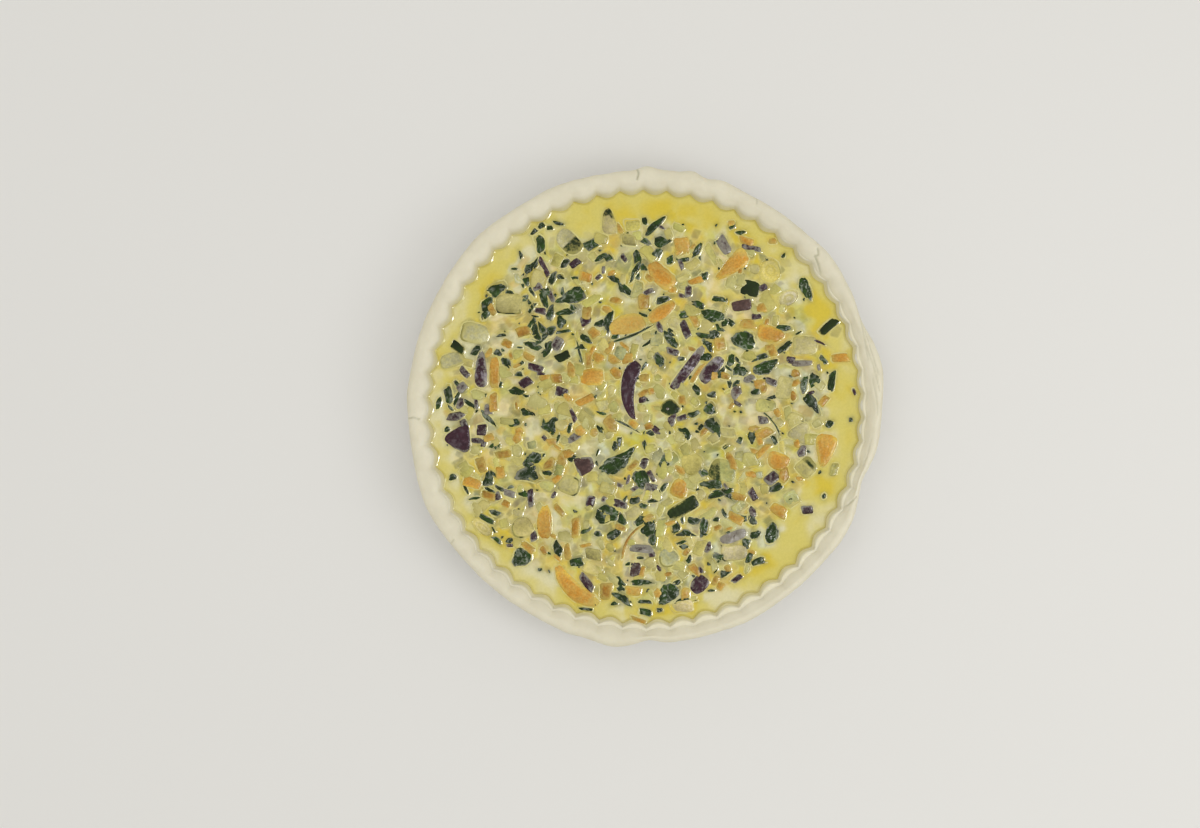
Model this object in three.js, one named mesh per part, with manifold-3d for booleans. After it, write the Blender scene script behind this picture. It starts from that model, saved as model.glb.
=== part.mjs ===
// A vegetable quiche in its fluted dish: dish, pastry case, custard filling and the vegetables in it.
// Millimetres, +Z up. The origin is the centre of the dish's flat underside.

import * as THREE from 'three';
import { mergeVertices } from 'three/addons/utils/BufferGeometryUtils.js';
import Module from 'manifold-3d';

const wasm = await Module();
wasm.setup();

// ---- Driving dimensions ----------------------------------------------------------------------

const GAP = 0.3; // clearance between pieces that touch

const FLUTES = 58; // waves round the wall of dish and pastry
const STEPS_PER_FLUTE = 3;
const FLUTE_START = THREE.MathUtils.degToRad(3.5); // angle of one outward cusp
const FLUTE_DEPTH = 3.5; // from the inward crest to the outward cusp
const RING_STEPS = FLUTES * STEPS_PER_FLUTE;

const DISH_FOOT_RADIUS = 128.5;
const DISH_FOOT_CHAMFER = 1.6;
const DISH_HEIGHT = 34;
const DISH_FLOOR = 4; // thickness of the dish's bottom
const DISH_WALL = 2.4;
const DISH_BOTTOM_RADIUS = 133.5; // inside, at the floor, midway between cusp and crest
const DISH_RIM_RADIUS = 137.9; // inside, at the rim

const PASTRY_FLOOR = 3.3; // thickness of the pastry's bottom
const PASTRY_WALL_RADIUS = 135; // inside, at the custard's level
const PASTRY_OUTER_RADIUS = 148.4;
const PASTRY_TOP = 38;
const PASTRY_LIP = 29; // height of the edge that hangs over the dish's rim
const LIP_INNER_RADIUS = 142.6;

const CUSTARD_LEVEL = 29.5;
const CUSTARD_FLOOR = DISH_FLOOR + PASTRY_FLOOR + 2 * GAP;

// How far each kind of vegetable stands out of the custard.
const CROWN = { carrot: 2.0, aubergine: 1.7, courgette: 1.4, leaf: 1.1, onion: 0.8 };
const CHUNK_DEPTH = 4; // how far a chunk reaches below the custard's level
const BUMP_DEPTH = 1;
const BUMP_SIDES = 5;
const LEAF_THICKNESS = 0.9;
const LEAF_WAVE = 0.35;
const LEAF_WAVELENGTH = 9;
const LEAF_POCKET = 1.3;
const NODE_AREA = 110; // length times width from which a vegetable is a piece of its own

// The pastry's edge is trimmed by hand: bulges and dips by angle, spread (degrees) and size.
const EDGE_WAVES = [
  { at: 9, spread: 7, by: 2.6 },
  { at: 22, spread: 5, by: -2.2 },
  { at: 39, spread: 6, by: 1.8 },
  { at: 70, spread: 3, by: 1.6 },
  { at: 79, spread: 3, by: 2.2 },
  { at: 89, spread: 3, by: 2.4 },
  { at: 112, spread: 6, by: 0.9 },
  { at: 134, spread: 8, by: 1.4 },
  { at: 177, spread: 4, by: 1.0 },
  { at: 205, spread: 9, by: 2.3 },
  { at: 251, spread: 5, by: 1.4 },
  { at: 262, spread: 5, by: 3.2 },
  { at: 271, spread: 3, by: -2.2 },
  { at: 296, spread: 5, by: 0.8 },
  { at: 327, spread: 5, by: 0.8 },
  { at: 341, spread: 6, by: -4.4 },
];
const TOP_WAVES = [
  { count: 3, by: 0.25, phase: 0.4 },
  { count: 8, by: 0.25, phase: 2.1 },
];

// The vegetables as they lie: centre (x, y), length, width and the turn of the long side from +X in
// degrees. A bend is how far the piece curves along its length, in degrees, ends towards its own left.
// A taper makes it narrower towards its far end, and square sets how square its outline is.
const CARROTS = [
  { x: -45.5, y: -115, length: 36, width: 10.5, turn: -42, bend: 75, taper: -0.2 },
  { x: -24, y: -115.5, length: 12.5, width: 8.5, turn: 80 },
  { x: 55, y: 89, length: 25, width: 9.5, turn: 42, taper: -0.4 },
  { x: 10.5, y: 82.5, length: 21, width: 11.5, turn: -45, bend: 30 },
  { x: 10.5, y: 60, length: 20, width: 8.5, turn: 35, square: 2.1 },
  { x: -10.5, y: 52, length: 22.5, width: 12, turn: 12 },
  { x: -33, y: 19, length: 15, width: 10.5, turn: 0, square: 4 },
  { x: 79.5, y: 46, length: 17, width: 10.5, turn: -12, taper: 0.3 },
  { x: 123, y: 31, length: 11.5, width: 6, turn: 0 },
  { x: 113.5, y: -27, length: 20.5, width: 11.5, turn: 80, taper: -0.35 },
  { x: 84, y: -34, length: 13.5, width: 11.5, turn: -20 },
  { x: 21.5, y: -51.5, length: 12, width: 10.5, turn: 70 },
  { x: 57, y: -70, length: 11, width: 7, turn: -30 },
  { x: -63, y: -73, length: 21, width: 9.5, turn: 90 },
  { x: -94.5, y: 21, length: 19.5, width: 6.5, turn: 90, square: 4 },
  { x: -109.5, y: -47, length: 12.5, width: 7.5, turn: -25 },
  { x: -55.5, y: 18, length: 8.5, width: 6.5, turn: 0 },
  { x: -37, y: 82, length: 9.5, width: 7, turn: -20 },
  { x: -76.5, y: 47.5, length: 9.5, width: 6.5, turn: 10 },
  { x: -43.5, y: -76, length: 13, width: 6, turn: 85 },
  { x: -98, y: -56, length: 10, width: 5.5, turn: -20 },
  { x: -32, y: 46.5, length: 8, width: 7.5, turn: 30 },
  { x: -37, y: 4.5, length: 12.5, width: 6, turn: 20 },
  { x: -95, y: 2.5, length: 12.5, width: 6, turn: 90 },
  { x: -89, y: -29.5, length: 11, width: 5.5, turn: 5 },
  { x: -29.5, y: 31, length: 7.5, width: 7.5, turn: 0 },
  { x: 32, y: 79.5, length: 10, width: 4.5, turn: 15 },
  { x: -91, y: -41, length: 9, width: 6, turn: 90 },
  { x: 64, y: 104.5, length: 11, width: 5.5, turn: -25 },
  { x: -87, y: 40, length: 7.5, width: 5.5, turn: -30 },
  { x: -87.5, y: -61, length: 6, width: 5, turn: -30 },
  { x: 2.5, y: -12, length: 6, width: 5, turn: 10 },
  { x: -60, y: -35.5, length: 10.5, width: 6, turn: 45 },
];
const AUBERGINES = [
  { x: -10.5, y: 11.5, length: 38, width: 9, turn: -95, bend: 62, taper: 0.3 },
  { x: 27, y: 24, length: 33, width: 6.5, turn: 53, square: 4 },
  { x: 42, y: 23.5, length: 20, width: 8.5, turn: 50, square: 3.6 },
  { x: -116, y: -21, length: 16.5, width: 14, turn: -60, taper: 0.45 },
  { x: -119, y: -5.5, length: 13, width: 6.5, turn: 15 },
  { x: -103, y: 23.5, length: 23, width: 7.5, turn: 90, taper: 0.2 },
  { x: 61, y: 64, length: 13, width: 7, turn: 10, square: 5 },
  { x: -38, y: -36.5, length: 12, width: 11, turn: 20, square: 4, taper: 0.2 },
  { x: 49.5, y: 102, length: 14, width: 7.5, turn: -62 },
  { x: 98, y: 27.5, length: 18, width: 5, turn: 0 },
  { x: 56, y: -81.5, length: 17.5, width: 7, turn: 20 },
  { x: -2.5, y: -89, length: 16.5, width: 5.5, turn: -5 },
  { x: 34.5, y: -111.5, length: 12.5, width: 10, turn: 50 },
  { x: 58, y: 10, length: 10, width: 7.5, turn: 75 },
  { x: -63.5, y: 88, length: 17, width: 3.5, turn: -65 },
  { x: 25.5, y: 49, length: 12, width: 5, turn: -70 },
  { x: -75.5, y: 15.5, length: 9.5, width: 6.5, turn: 25 },
  { x: -6, y: -102, length: 9, width: 7.5, turn: 80 },
  { x: 102.5, y: -65, length: 8.5, width: 6, turn: 0 },
  { x: -72, y: -57.5, length: 12, width: 5, turn: 90 },
  { x: 70.5, y: 57, length: 7.5, width: 4, turn: 0 },
  { x: -1, y: 4.5, length: 7, width: 5, turn: 20 },
  { x: -52.5, y: 9.5, length: 9, width: 7.5, turn: -20 },
  { x: -103, y: -14.5, length: 9, width: 7, turn: 80 },
  { x: -69, y: 25, length: 10.5, width: 5.5, turn: -22 },
  { x: 68, y: -55, length: 9, width: 5, turn: -60 },
  { x: -37.5, y: 54.5, length: 8, width: 7, turn: 60 },
  { x: -34, y: -59.5, length: 7.5, width: 5.5, turn: 70 },
  { x: -44, y: 90.5, length: 9, width: 5.5, turn: 30 },
];
const COURGETTES = [
  { x: -47.5, y: 104, length: 18, width: 12, turn: -45 },
  { x: -85.5, y: 64.5, length: 16.5, width: 13, turn: 0, square: 4.5 },
  { x: -107.5, y: 46.5, length: 18, width: 13, turn: -10 },
  { x: -121, y: 29.5, length: 16, width: 9, turn: 15 },
  { x: -22.5, y: 117, length: 16.5, width: 8.5, turn: -82, taper: -0.4 },
  { x: 66.5, y: 74.5, length: 12, width: 10, turn: -15, square: 4.5 },
  { x: 100.5, y: 39, length: 15.5, width: 11.5, turn: 0, square: 4.5 },
  { x: 88.5, y: 12, length: 14.5, width: 11, turn: 80, square: 4.5 },
  { x: 98.5, y: -16, length: 13.5, width: 12, turn: 60, taper: 0.5 },
  { x: 101.5, y: -38, length: 12, width: 11.5, turn: 40, square: 4 },
  { x: 30, y: -36, length: 14, width: 14, turn: 0, square: 2.1 },
  { x: 49, y: -40, length: 16.5, width: 14, turn: -15 },
  { x: 24.5, y: -63.5, length: 21, width: 8.5, turn: 30, square: 4.5 },
  { x: 56, y: -92, length: 16.5, width: 10, turn: 5, square: 4.5 },
  { x: 16, y: -0.5, length: 13, width: 11, turn: 0, square: 1.6 },
  { x: 115.5, y: 50.5, length: 14, width: 5.5, turn: 40 },
  { x: -51.5, y: 32, length: 12, width: 7.5, turn: 22 },
  { x: -47.5, y: -49.5, length: 14, width: 12, turn: -20 },
  { x: -77, y: -76, length: 14, width: 13, turn: 20, square: 2.4 },
  { x: -8, y: -67, length: 12, width: 8.5, turn: 30 },
  { x: 15, y: -95, length: 12.5, width: 12, turn: 0, square: 2.1 },
  { x: 76, y: 1, length: 13, width: 8.5, turn: 0 },
  { x: -32, y: -93, length: 11.5, width: 8, turn: -10 },
  { x: 8, y: -30.5, length: 12.5, width: 8, turn: 75 },
  { x: -9.5, y: 105, length: 10.5, width: 7, turn: -10 },
  { x: -25.5, y: 1, length: 9.5, width: 7.5, turn: 10 },
  { x: -55.5, y: 92, length: 9, width: 7, turn: 60 },
  { x: -15.5, y: 34.5, length: 9, width: 7.5, turn: 60 },
  { x: -54.5, y: -40, length: 8, width: 6, turn: 70 },
  { x: -71, y: -24, length: 7, width: 6, turn: 0 },
];
const LEAVES = [
  { x: -16, y: -34, length: 27, width: 10, turn: 37, taper: 0.5 },
  { x: -46, y: 69.5, length: 21, width: 9.5, turn: 18, taper: -0.4 },
  { x: 43, y: 57.5, length: 15.5, width: 8.5, turn: -12 },
  { x: 62, y: 42, length: 15.5, width: 11.5, turn: -10, square: 2.4, taper: -0.2 },
  { x: -2, y: -45.5, length: 13, width: 10, turn: -55 },
  { x: 14.5, y: -118, length: 17, width: 11.5, turn: 50, taper: -0.3 },
  { x: -77.5, y: -95, length: 13, width: 11, turn: 20 },
  { x: 80, y: -79.5, length: 13.5, width: 8.5, turn: 80 },
  { x: 11, y: 104.5, length: 10.5, width: 9, turn: 15 },
  { x: -70.5, y: -33, length: 15, width: 7.5, turn: 30 },
  { x: -58.5, y: -13, length: 10.5, width: 9.5, turn: -20 },
  { x: -24, y: -67.5, length: 16, width: 12.5, turn: 10 },
  { x: 76, y: 25, length: 17, width: 8.5, turn: 25 },
  { x: 107, y: 18, length: 11.5, width: 9, turn: 70 },
  { x: 105.5, y: 2, length: 13.5, width: 6, turn: -50 },
  { x: 101.5, y: 74, length: 16, width: 7, turn: -68, taper: 0.4 },
  { x: -33, y: 102, length: 11, width: 7, turn: 25 },
  { x: 41.5, y: -1, length: 10, width: 9, turn: -30 },
  { x: 2.5, y: -76, length: 12, width: 10, turn: 60 },
  { x: 37.5, y: -75.5, length: 13, width: 7, turn: 80 },
  { x: -43, y: -97, length: 9.5, width: 8.5, turn: 0 },
  { x: 17, y: 42, length: 14, width: 6.5, turn: -55 },
  { x: -99.5, y: 63, length: 14, width: 6, turn: 82 },
  { x: 33, y: 64.5, length: 12, width: 5, turn: -20 },
  { x: -1.5, y: -110.5, length: 16.5, width: 4, turn: 0 },
  { x: 6, y: 114, length: 15, width: 4.5, turn: 42 },
  { x: 117.5, y: 17, length: 14, width: 5.5, turn: 80 },
  { x: 33.5, y: 99, length: 11, width: 5, turn: 62 },
  { x: 51, y: -52.5, length: 11.5, width: 5, turn: 0 },
  { x: 58, y: 24, length: 11, width: 5, turn: 65 },
  { x: -6, y: 85, length: 15.5, width: 4, turn: 62 },
  { x: 25.5, y: -17, length: 10, width: 6, turn: -50 },
  { x: -81, y: -10, length: 9, width: 5.5, turn: 20 },
  { x: 38, y: 44.5, length: 14, width: 4, turn: -10 },
  { x: 50, y: -104.5, length: 8, width: 5, turn: 15, taper: 0.4 },
  { x: -18, y: 80, length: 13, width: 4, turn: -28 },
  { x: 16, y: 92.5, length: 7, width: 5.5, turn: 60 },
  { x: 26, y: -80, length: 11, width: 4, turn: -5 },
  { x: 47, y: 68, length: 9.5, width: 4, turn: -12 },
  { x: 72, y: -97.5, length: 9.5, width: 4.5, turn: 25 },
  { x: 67.5, y: -19, length: 7.5, width: 5, turn: 80 },
  { x: 24.5, y: -88, length: 7, width: 4.5, turn: -10 },
  { x: 116, y: -10.5, length: 5.5, width: 5, turn: 60 },
  { x: 0, y: -122.5, length: 9.5, width: 3, turn: -5 },
  { x: -110.5, y: 2, length: 9.5, width: 3, turn: -35 },
  { x: -71, y: 62.5, length: 9.5, width: 3, turn: 55 },
  { x: -47, y: -12.5, length: 8, width: 3, turn: 72 },
  { x: -85, y: -84, length: 6, width: 4, turn: 20 },
  { x: 35.5, y: -12.5, length: 5.5, width: 4, turn: 50 },
  { x: 59.5, y: -21, length: 5.5, width: 4, turn: 60 },
  { x: 6, y: -59, length: 11, width: 3, turn: 8 },
  { x: -27.5, y: 94.5, length: 10, width: 4, turn: 30 },
];
const ONIONS = [
  { x: 79, y: 86, length: 15.5, width: 13.5, turn: 90 },
  { x: 90.5, y: 68.5, length: 13.5, width: 9.5, turn: 35 },
  { x: 23.5, y: -126, length: 14, width: 7.5, turn: 5 },
  { x: -79, y: 81.5, length: 9, width: 7.5, turn: 90 },
  { x: -102, y: -76, length: 15, width: 7.5, turn: -42 },
  { x: -8, y: 114.5, length: 10.5, width: 8, turn: -5 },
  { x: 92.5, y: -58, length: 10.5, width: 9.5, turn: 30 },
];

// ---- Materials -------------------------------------------------------------------------------

const finish = (color, roughness) => new THREE.MeshStandardMaterial({ color, roughness, metalness: 0 });
const materials = {
  dish: finish('#f1efe8', 0.2),
  pastry: finish('#d8d1b6', 0.75),
  custard: finish('#d3c873', 0.3),
  carrot: finish('#c98a36', 0.4),
  aubergine: finish('#3d2636', 0.35),
  courgette: finish('#aeb277', 0.4),
  leaf: finish('#24402a', 0.3),
  onion: finish('#c9c98f', 0.35),
};

// ---- Turned and warped solids ----------------------------------------------------------------

// A lathe of [radius, height] points whose vertices are then moved by place(point, angle, row).
function warpedLathe(points, steps, startAngle, place) {
  const outline = points.map(([radius, height]) => new THREE.Vector2(radius, height));
  const geometry = new THREE.LatheGeometry(outline, steps);
  const position = geometry.attributes.position;
  for (let step = 0; step <= steps; step++) {
    const angle = startAngle + ((step % steps) / steps) * 2 * Math.PI;
    points.forEach((point, row) => {
      const [x, y, z] = place(point, angle, row);
      position.setXYZ(step * points.length + row, x, y, z);
    });
  }
  return geometry;
}

// A closed manifold solid from a geometry, its doubled vertices merged and its flat faces dropped.
function toSolid(geometry) {
  geometry.deleteAttribute('normal');
  geometry.deleteAttribute('uv');
  const merged = mergeVertices(geometry, 1e-5);
  const corners = merged.index.array;
  const kept = [];
  for (let i = 0; i < corners.length; i += 3) {
    const [a, b, c] = corners.slice(i, i + 3);
    if (a !== b && b !== c && c !== a) kept.push(a, b, c);
  }
  return new wasm.Manifold(new wasm.Mesh({
    numProp: 3,
    vertProperties: new Float32Array(merged.attributes.position.array),
    triVerts: new Uint32Array(kept),
  }));
}

function toMesh(name, solid, material) {
  const { vertProperties, triVerts } = solid.getMesh();
  const geometry = new THREE.BufferGeometry();
  geometry.setAttribute('position', new THREE.BufferAttribute(vertProperties, 3));
  geometry.setIndex(new THREE.BufferAttribute(triVerts, 1));
  geometry.computeVertexNormals();
  const mesh = new THREE.Mesh(geometry, material);
  mesh.name = name;
  return mesh;
}

// ---- Dish and pastry case --------------------------------------------------------------------

// Sharp cusps outwards and round crests inwards, half the depth to each side of the mid radius.
function fluteOffset(angle) {
  const wave = Math.abs(Math.sin((FLUTES * (angle - FLUTE_START)) / 2));
  return FLUTE_DEPTH * (0.5 - wave);
}

function edgeOffset(angle) {
  const degrees = THREE.MathUtils.radToDeg(angle);
  return EDGE_WAVES.reduce((sum, wave) => {
    const away = THREE.MathUtils.euclideanModulo(degrees - wave.at + 180, 360) - 180;
    return sum + wave.by * Math.exp(-((away / wave.spread) ** 2));
  }, 0);
}

function topOffset(angle) {
  return TOP_WAVES.reduce((sum, wave) => sum + wave.by * Math.sin(wave.count * angle + wave.phase), 0);
}

// A ring of [radius, height, flute share, edge share, top share] points.
function fluted(points) {
  return toSolid(warpedLathe(points, RING_STEPS, FLUTE_START, ([radius, height, flute, edge, top], angle) => {
    const out = radius + (flute ?? 0) * fluteOffset(angle) + (edge ?? 0) * edgeOffset(angle);
    const up = height + (top ?? 0) * topOffset(angle);
    return [out * Math.cos(angle), out * Math.sin(angle), up];
  }));
}

// The inside radius of the dish's sloping wall at a height.
function dishRadius(height) {
  const share = (height - DISH_FLOOR) / (DISH_HEIGHT - DISH_FLOOR);
  return THREE.MathUtils.lerp(DISH_BOTTOM_RADIUS, DISH_RIM_RADIUS, share);
}

// The inside radius of the pastry's wall, which stands parallel to the dish's.
function pastryRadius(height) {
  return PASTRY_WALL_RADIUS + dishRadius(height) - dishRadius(CUSTARD_LEVEL);
}

function dish() {
  return fluted([
    [0, 0],
    [DISH_FOOT_RADIUS, 0],
    [DISH_BOTTOM_RADIUS + DISH_WALL - 1, DISH_FOOT_CHAMFER, 1],
    [DISH_RIM_RADIUS + DISH_WALL, DISH_HEIGHT, 1],
    [DISH_RIM_RADIUS, DISH_HEIGHT, 1],
    [DISH_BOTTOM_RADIUS, DISH_FLOOR, 1],
    [0, DISH_FLOOR],
  ]);
}

function pastryCase() {
  const underside = DISH_FLOOR + GAP;
  const overRim = DISH_HEIGHT + GAP;
  const floor = underside + PASTRY_FLOOR;
  return fluted([
    [0, underside],
    [dishRadius(underside) - GAP, underside, 1],
    [dishRadius(overRim) - GAP, overRim, 1],
    [LIP_INNER_RADIUS, overRim, 0, 0.06],
    [LIP_INNER_RADIUS, PASTRY_LIP + 1, 0, 0.06],
    [PASTRY_OUTER_RADIUS - 1, PASTRY_LIP, 0, 1],
    [PASTRY_OUTER_RADIUS, PASTRY_LIP + 4.5, 0, 1],
    [PASTRY_OUTER_RADIUS - 3.4, PASTRY_TOP - 0.4, 0.1, 0.85, 1],
    [PASTRY_WALL_RADIUS + 4, PASTRY_TOP - 0.5, 0.4, 0.2, 1],
    [PASTRY_WALL_RADIUS + 1, CUSTARD_LEVEL + 4, 0.9],
    [pastryRadius(floor), floor, 1],
    [0, floor],
  ]);
}

function custardBody() {
  return fluted([
    [0, CUSTARD_FLOOR],
    [pastryRadius(CUSTARD_FLOOR) - GAP, CUSTARD_FLOOR, 1],
    [pastryRadius(CUSTARD_LEVEL) - GAP, CUSTARD_LEVEL, 1],
    [0, CUSTARD_LEVEL],
  ]);
}

// ---- Vegetables ------------------------------------------------------------------------------

// How square each kind's outline is: 2 is an ellipse, higher is squarer, lower more pointed.
const SQUARENESS = { carrot: 2.6, aubergine: 2.8, courgette: 3, leaf: 1.8, onion: 2.1 };
const UNEVENNESS = { carrot: 0.06, aubergine: 0.05, courgette: 0.05, leaf: 0.09, onion: 0.04 };

// A point of a vegetable's outline, at a share of the way out, bent, turned and moved to its place.
function onPiece(piece, share, angle, grow) {
  const power = 2 / (piece.square ?? SQUARENESS[piece.kind]);
  const uneven = 1 + UNEVENNESS[piece.kind] * Math.sin(3 * angle + piece.x + piece.y);
  const along = Math.sign(Math.cos(angle)) * Math.abs(Math.cos(angle)) ** power;
  const across = Math.sign(Math.sin(angle)) * Math.abs(Math.sin(angle)) ** power;
  let x = share * uneven * along * (piece.length / 2 + grow);
  const halfWidth = (piece.width / 2) * (1 - (piece.taper ?? 0) * along);
  let y = share * uneven * across * (halfWidth + grow);
  if (piece.bend) {
    const radius = piece.length / THREE.MathUtils.degToRad(piece.bend);
    const reach = radius - y;
    y = radius - reach * Math.cos(x / radius);
    x = reach * Math.sin(x / radius);
  }
  const turn = THREE.MathUtils.degToRad(piece.turn);
  return [
    piece.x + x * Math.cos(turn) - y * Math.sin(turn),
    piece.y + x * Math.sin(turn) + y * Math.cos(turn),
  ];
}

// More sides on a longer vegetable.
function sidesOf(piece) {
  return 2 * Math.round(3 + piece.length / 9);
}

// A vegetable from rings of [share of the way out, height over the custard's level].
function lump(piece, profile, sides) {
  return toSolid(warpedLathe(profile, sides, 0, ([share, height], angle) => [
    ...onPiece(piece, share, angle, 0),
    CUSTARD_LEVEL + height,
  ]));
}

// A chunk with a flat floor below the level and a bevelled crown above it.
function chunk(piece, sides) {
  const crown = CROWN[piece.kind];
  return lump(piece, [
    [0, -CHUNK_DEPTH],
    [0.86, -CHUNK_DEPTH],
    [1, 0.35 * crown],
    [0.8, crown],
    [0, crown],
  ], sides);
}

// A small vegetable that is joined to the custard it sticks out of.
function bump(piece) {
  const crown = CROWN[piece.kind];
  return lump(piece, [
    [0, -BUMP_DEPTH],
    [1, -BUMP_DEPTH],
    [0.72, crown],
    [0, crown],
  ], BUMP_SIDES);
}

// A thin wavy leaf, both faces split alike.
function leaf(piece, sides) {
  const profile = [
    [0, -1],
    [0.6, -1],
    [1, -1],
    [1, 1],
    [0.6, 1],
    [0, 1],
  ];
  const middle = CUSTARD_LEVEL + CROWN.leaf - LEAF_WAVE - LEAF_THICKNESS / 2;
  return toSolid(warpedLathe(profile, sides, 0, ([share, side], angle) => {
    const [x, y] = onPiece(piece, share, angle, 0);
    const wave = LEAF_WAVE * Math.sin((2 * Math.PI * (x + 0.6 * y)) / LEAF_WAVELENGTH);
    return [x, y, middle + wave + (side * LEAF_THICKNESS) / 2];
  }));
}

// The room that a vegetable takes in the custard, with the gap all round.
function pocket(piece, depth, sides) {
  const profile = [
    [0, -depth - GAP],
    [1, -depth - GAP],
    [1, CROWN[piece.kind] + GAP],
    [0, CROWN[piece.kind] + GAP],
  ];
  return toSolid(warpedLathe(profile, sides, 0, ([share, height], angle) => [
    ...onPiece(piece, share, angle, GAP + 0.15),
    CUSTARD_LEVEL + height,
  ]));
}

// ---- The quiche ------------------------------------------------------------------------------

const kinds = { carrot: CARROTS, aubergine: AUBERGINES, courgette: COURGETTES, leaf: LEAVES, onion: ONIONS };
const vegetables = Object.entries(kinds).flatMap(([kind, rows]) => rows.map((row) => ({ kind, ...row })));
const ownPieces = vegetables.filter((piece) => piece.length * piece.width >= NODE_AREA);
const fusedPieces = vegetables.filter((piece) => piece.length * piece.width < NODE_AREA);

const quiche = new THREE.Group();
quiche.add(toMesh('dish', dish(), materials.dish));
quiche.add(toMesh('pastry_case', pastryCase(), materials.pastry));

const counts = {};
let custard = custardBody();
for (const piece of ownPieces) {
  const sides = sidesOf(piece);
  const isLeaf = piece.kind === 'leaf';
  const solid = isLeaf ? leaf(piece, sides) : chunk(piece, sides);
  custard = custard.subtract(pocket(piece, isLeaf ? LEAF_POCKET : CHUNK_DEPTH, sides));
  counts[piece.kind] = (counts[piece.kind] ?? 0) + 1;
  const name = `${piece.kind}_${String(counts[piece.kind]).padStart(2, '0')}`;
  quiche.add(toMesh(name, solid, materials[piece.kind]));
}
for (const piece of fusedPieces) {
  custard = custard.add(bump(piece));
}
quiche.add(toMesh('custard', custard, materials.custard));

export default quiche;
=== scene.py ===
"""Dresses a packed vegetable quiche: its dough, egg custard, vegetables, dish and a plain studio.

Lengths in the tables and formulas are millimetres, +Z up, from the centre of the dish's underside.
Meshes are stored in metres.
"""

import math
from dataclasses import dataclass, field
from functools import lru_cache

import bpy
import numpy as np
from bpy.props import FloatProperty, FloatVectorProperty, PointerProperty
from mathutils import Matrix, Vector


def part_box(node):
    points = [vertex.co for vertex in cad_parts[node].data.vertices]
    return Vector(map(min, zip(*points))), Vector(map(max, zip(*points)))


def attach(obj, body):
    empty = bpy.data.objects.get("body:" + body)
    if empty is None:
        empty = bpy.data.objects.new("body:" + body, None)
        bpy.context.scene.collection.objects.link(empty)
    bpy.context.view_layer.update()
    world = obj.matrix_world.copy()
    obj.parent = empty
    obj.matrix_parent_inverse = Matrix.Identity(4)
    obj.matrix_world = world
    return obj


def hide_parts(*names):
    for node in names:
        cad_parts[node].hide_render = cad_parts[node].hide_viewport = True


bl_info = {
    "name": "Vegetable quiche",
    "version": (1, 0, 0),
    "blender": (4, 5, 0),
    "location": "3D View > Sidebar > Quiche",
    "description": "Builds an unbaked vegetable quiche in its fluted dish, with a plain studio round it",
    "category": "Add Mesh",
}

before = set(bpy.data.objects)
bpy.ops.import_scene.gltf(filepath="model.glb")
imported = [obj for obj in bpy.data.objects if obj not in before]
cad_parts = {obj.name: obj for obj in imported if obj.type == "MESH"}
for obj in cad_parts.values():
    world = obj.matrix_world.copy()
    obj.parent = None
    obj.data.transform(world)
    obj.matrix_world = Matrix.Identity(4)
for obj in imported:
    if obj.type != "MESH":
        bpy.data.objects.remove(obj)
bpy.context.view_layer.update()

# ---- Dimensions, in millimetres ---------------------------------------------------------------

MM = 0.001
TURN = 2 * math.pi

FLUTES = 58
FLUTE_START = math.radians(3.5)
FLUTE_DEPTH = 3.5
CUSP_ROUNDING = 0.004  # added to the wave's square, so that its cusps aren't sharp
SHALLOW_FLUTES = (6, 30, 0.45)  # angle, spread, share of the depth that is lost there
STEPS_PER_FLUTE = 24

GAP = 0.3  # between dish and dough, and how far the custard's edge reaches into the dough
DISH_FOOT_RADIUS = 128.5
DISH_HEIGHT, DISH_FLOOR, DISH_WALL = 34.0, 4.0, 2.4
DISH_BOTTOM_RADIUS, DISH_RIM_RADIUS = 133.5, 137.9

PASTRY_FLOOR = 3.3
PASTRY_WALL_RADIUS = 135.0
PASTRY_OUTER_RADIUS = 148.4
PASTRY_TOP, PASTRY_LIP, LIP_INNER_RADIUS = 38.0, 29.0, 142.6

LEVEL = 29.5  # the custard's surface
RISE_POWER = 4  # rises that overlap are summed in this power and its root is taken, so none creases
CUSTARD_FLOOR = 7.9
HIGHEST_RELIEF = 0.3  # of what lies sunk in the custard
CUSTARD_FLUTES_FROM = 0.93  # the share of the way out from which the custard's edge is fluted
CUSTARD_LIP = 2.0  # how far down the custard's edge is upright
CHUNK_DEPTH = 4.0  # how deep a larger cut reaches into the custard
SMALL_DEPTH = 1.2  # and a small one
CUT_EDGE = 0.25  # how high a cut's top starts at its outline
MISPLACED = 2.0  # a larger cut further than this from its node stops the script
LEAF_THICKNESS, LEAF_WAVE, LEAF_WAVELENGTH = 0.9, 0.35, 9.0
CROWN = {"carrot": 2.0, "aubergine": 1.7, "courgette": 1.4, "leaf": 1.1, "onion": 0.8}
SQUARENESS = {"carrot": 2.6, "aubergine": 2.8, "courgette": 3.0, "leaf": 1.8, "onion": 2.1}
UNEVENNESS = {"carrot": 0.06, "aubergine": 0.05, "courgette": 0.05, "leaf": 0.09, "onion": 0.04}
NODE_AREA = 110.0  # length times width from which a vegetable is a piece of its own
CORNER_SHARPNESS = 11.0  # the squareness of a many-sided cut
FURTHEST_OUT = 1.4  # where the corners of a many-sided cut are held, as a share of its half size

# The trimmed edge's bulges and dips: at an angle, over a spread, both in degrees, and by how much.
EDGE_WAVES = [
    (9, 7, 2.6), (22, 5, -2.2), (39, 6, 1.8), (70, 3, 1.6), (79, 3, 2.2), (89, 3, 2.4),
    (112, 6, 0.9), (134, 8, 1.4), (177, 4, 1.0), (205, 9, 2.3), (251, 5, 1.4), (262, 5, 3.2),
    (271, 3, -2.2), (296, 5, 0.8), (327, 5, 0.8), (341, 6, -4.4),
]
TOP_WAVES = [(3, 0.25, 0.4), (8, 0.25, 2.1)]  # how many round the rim, height, phase

# ---- The vegetables as they lie ---------------------------------------------------------------

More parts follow.
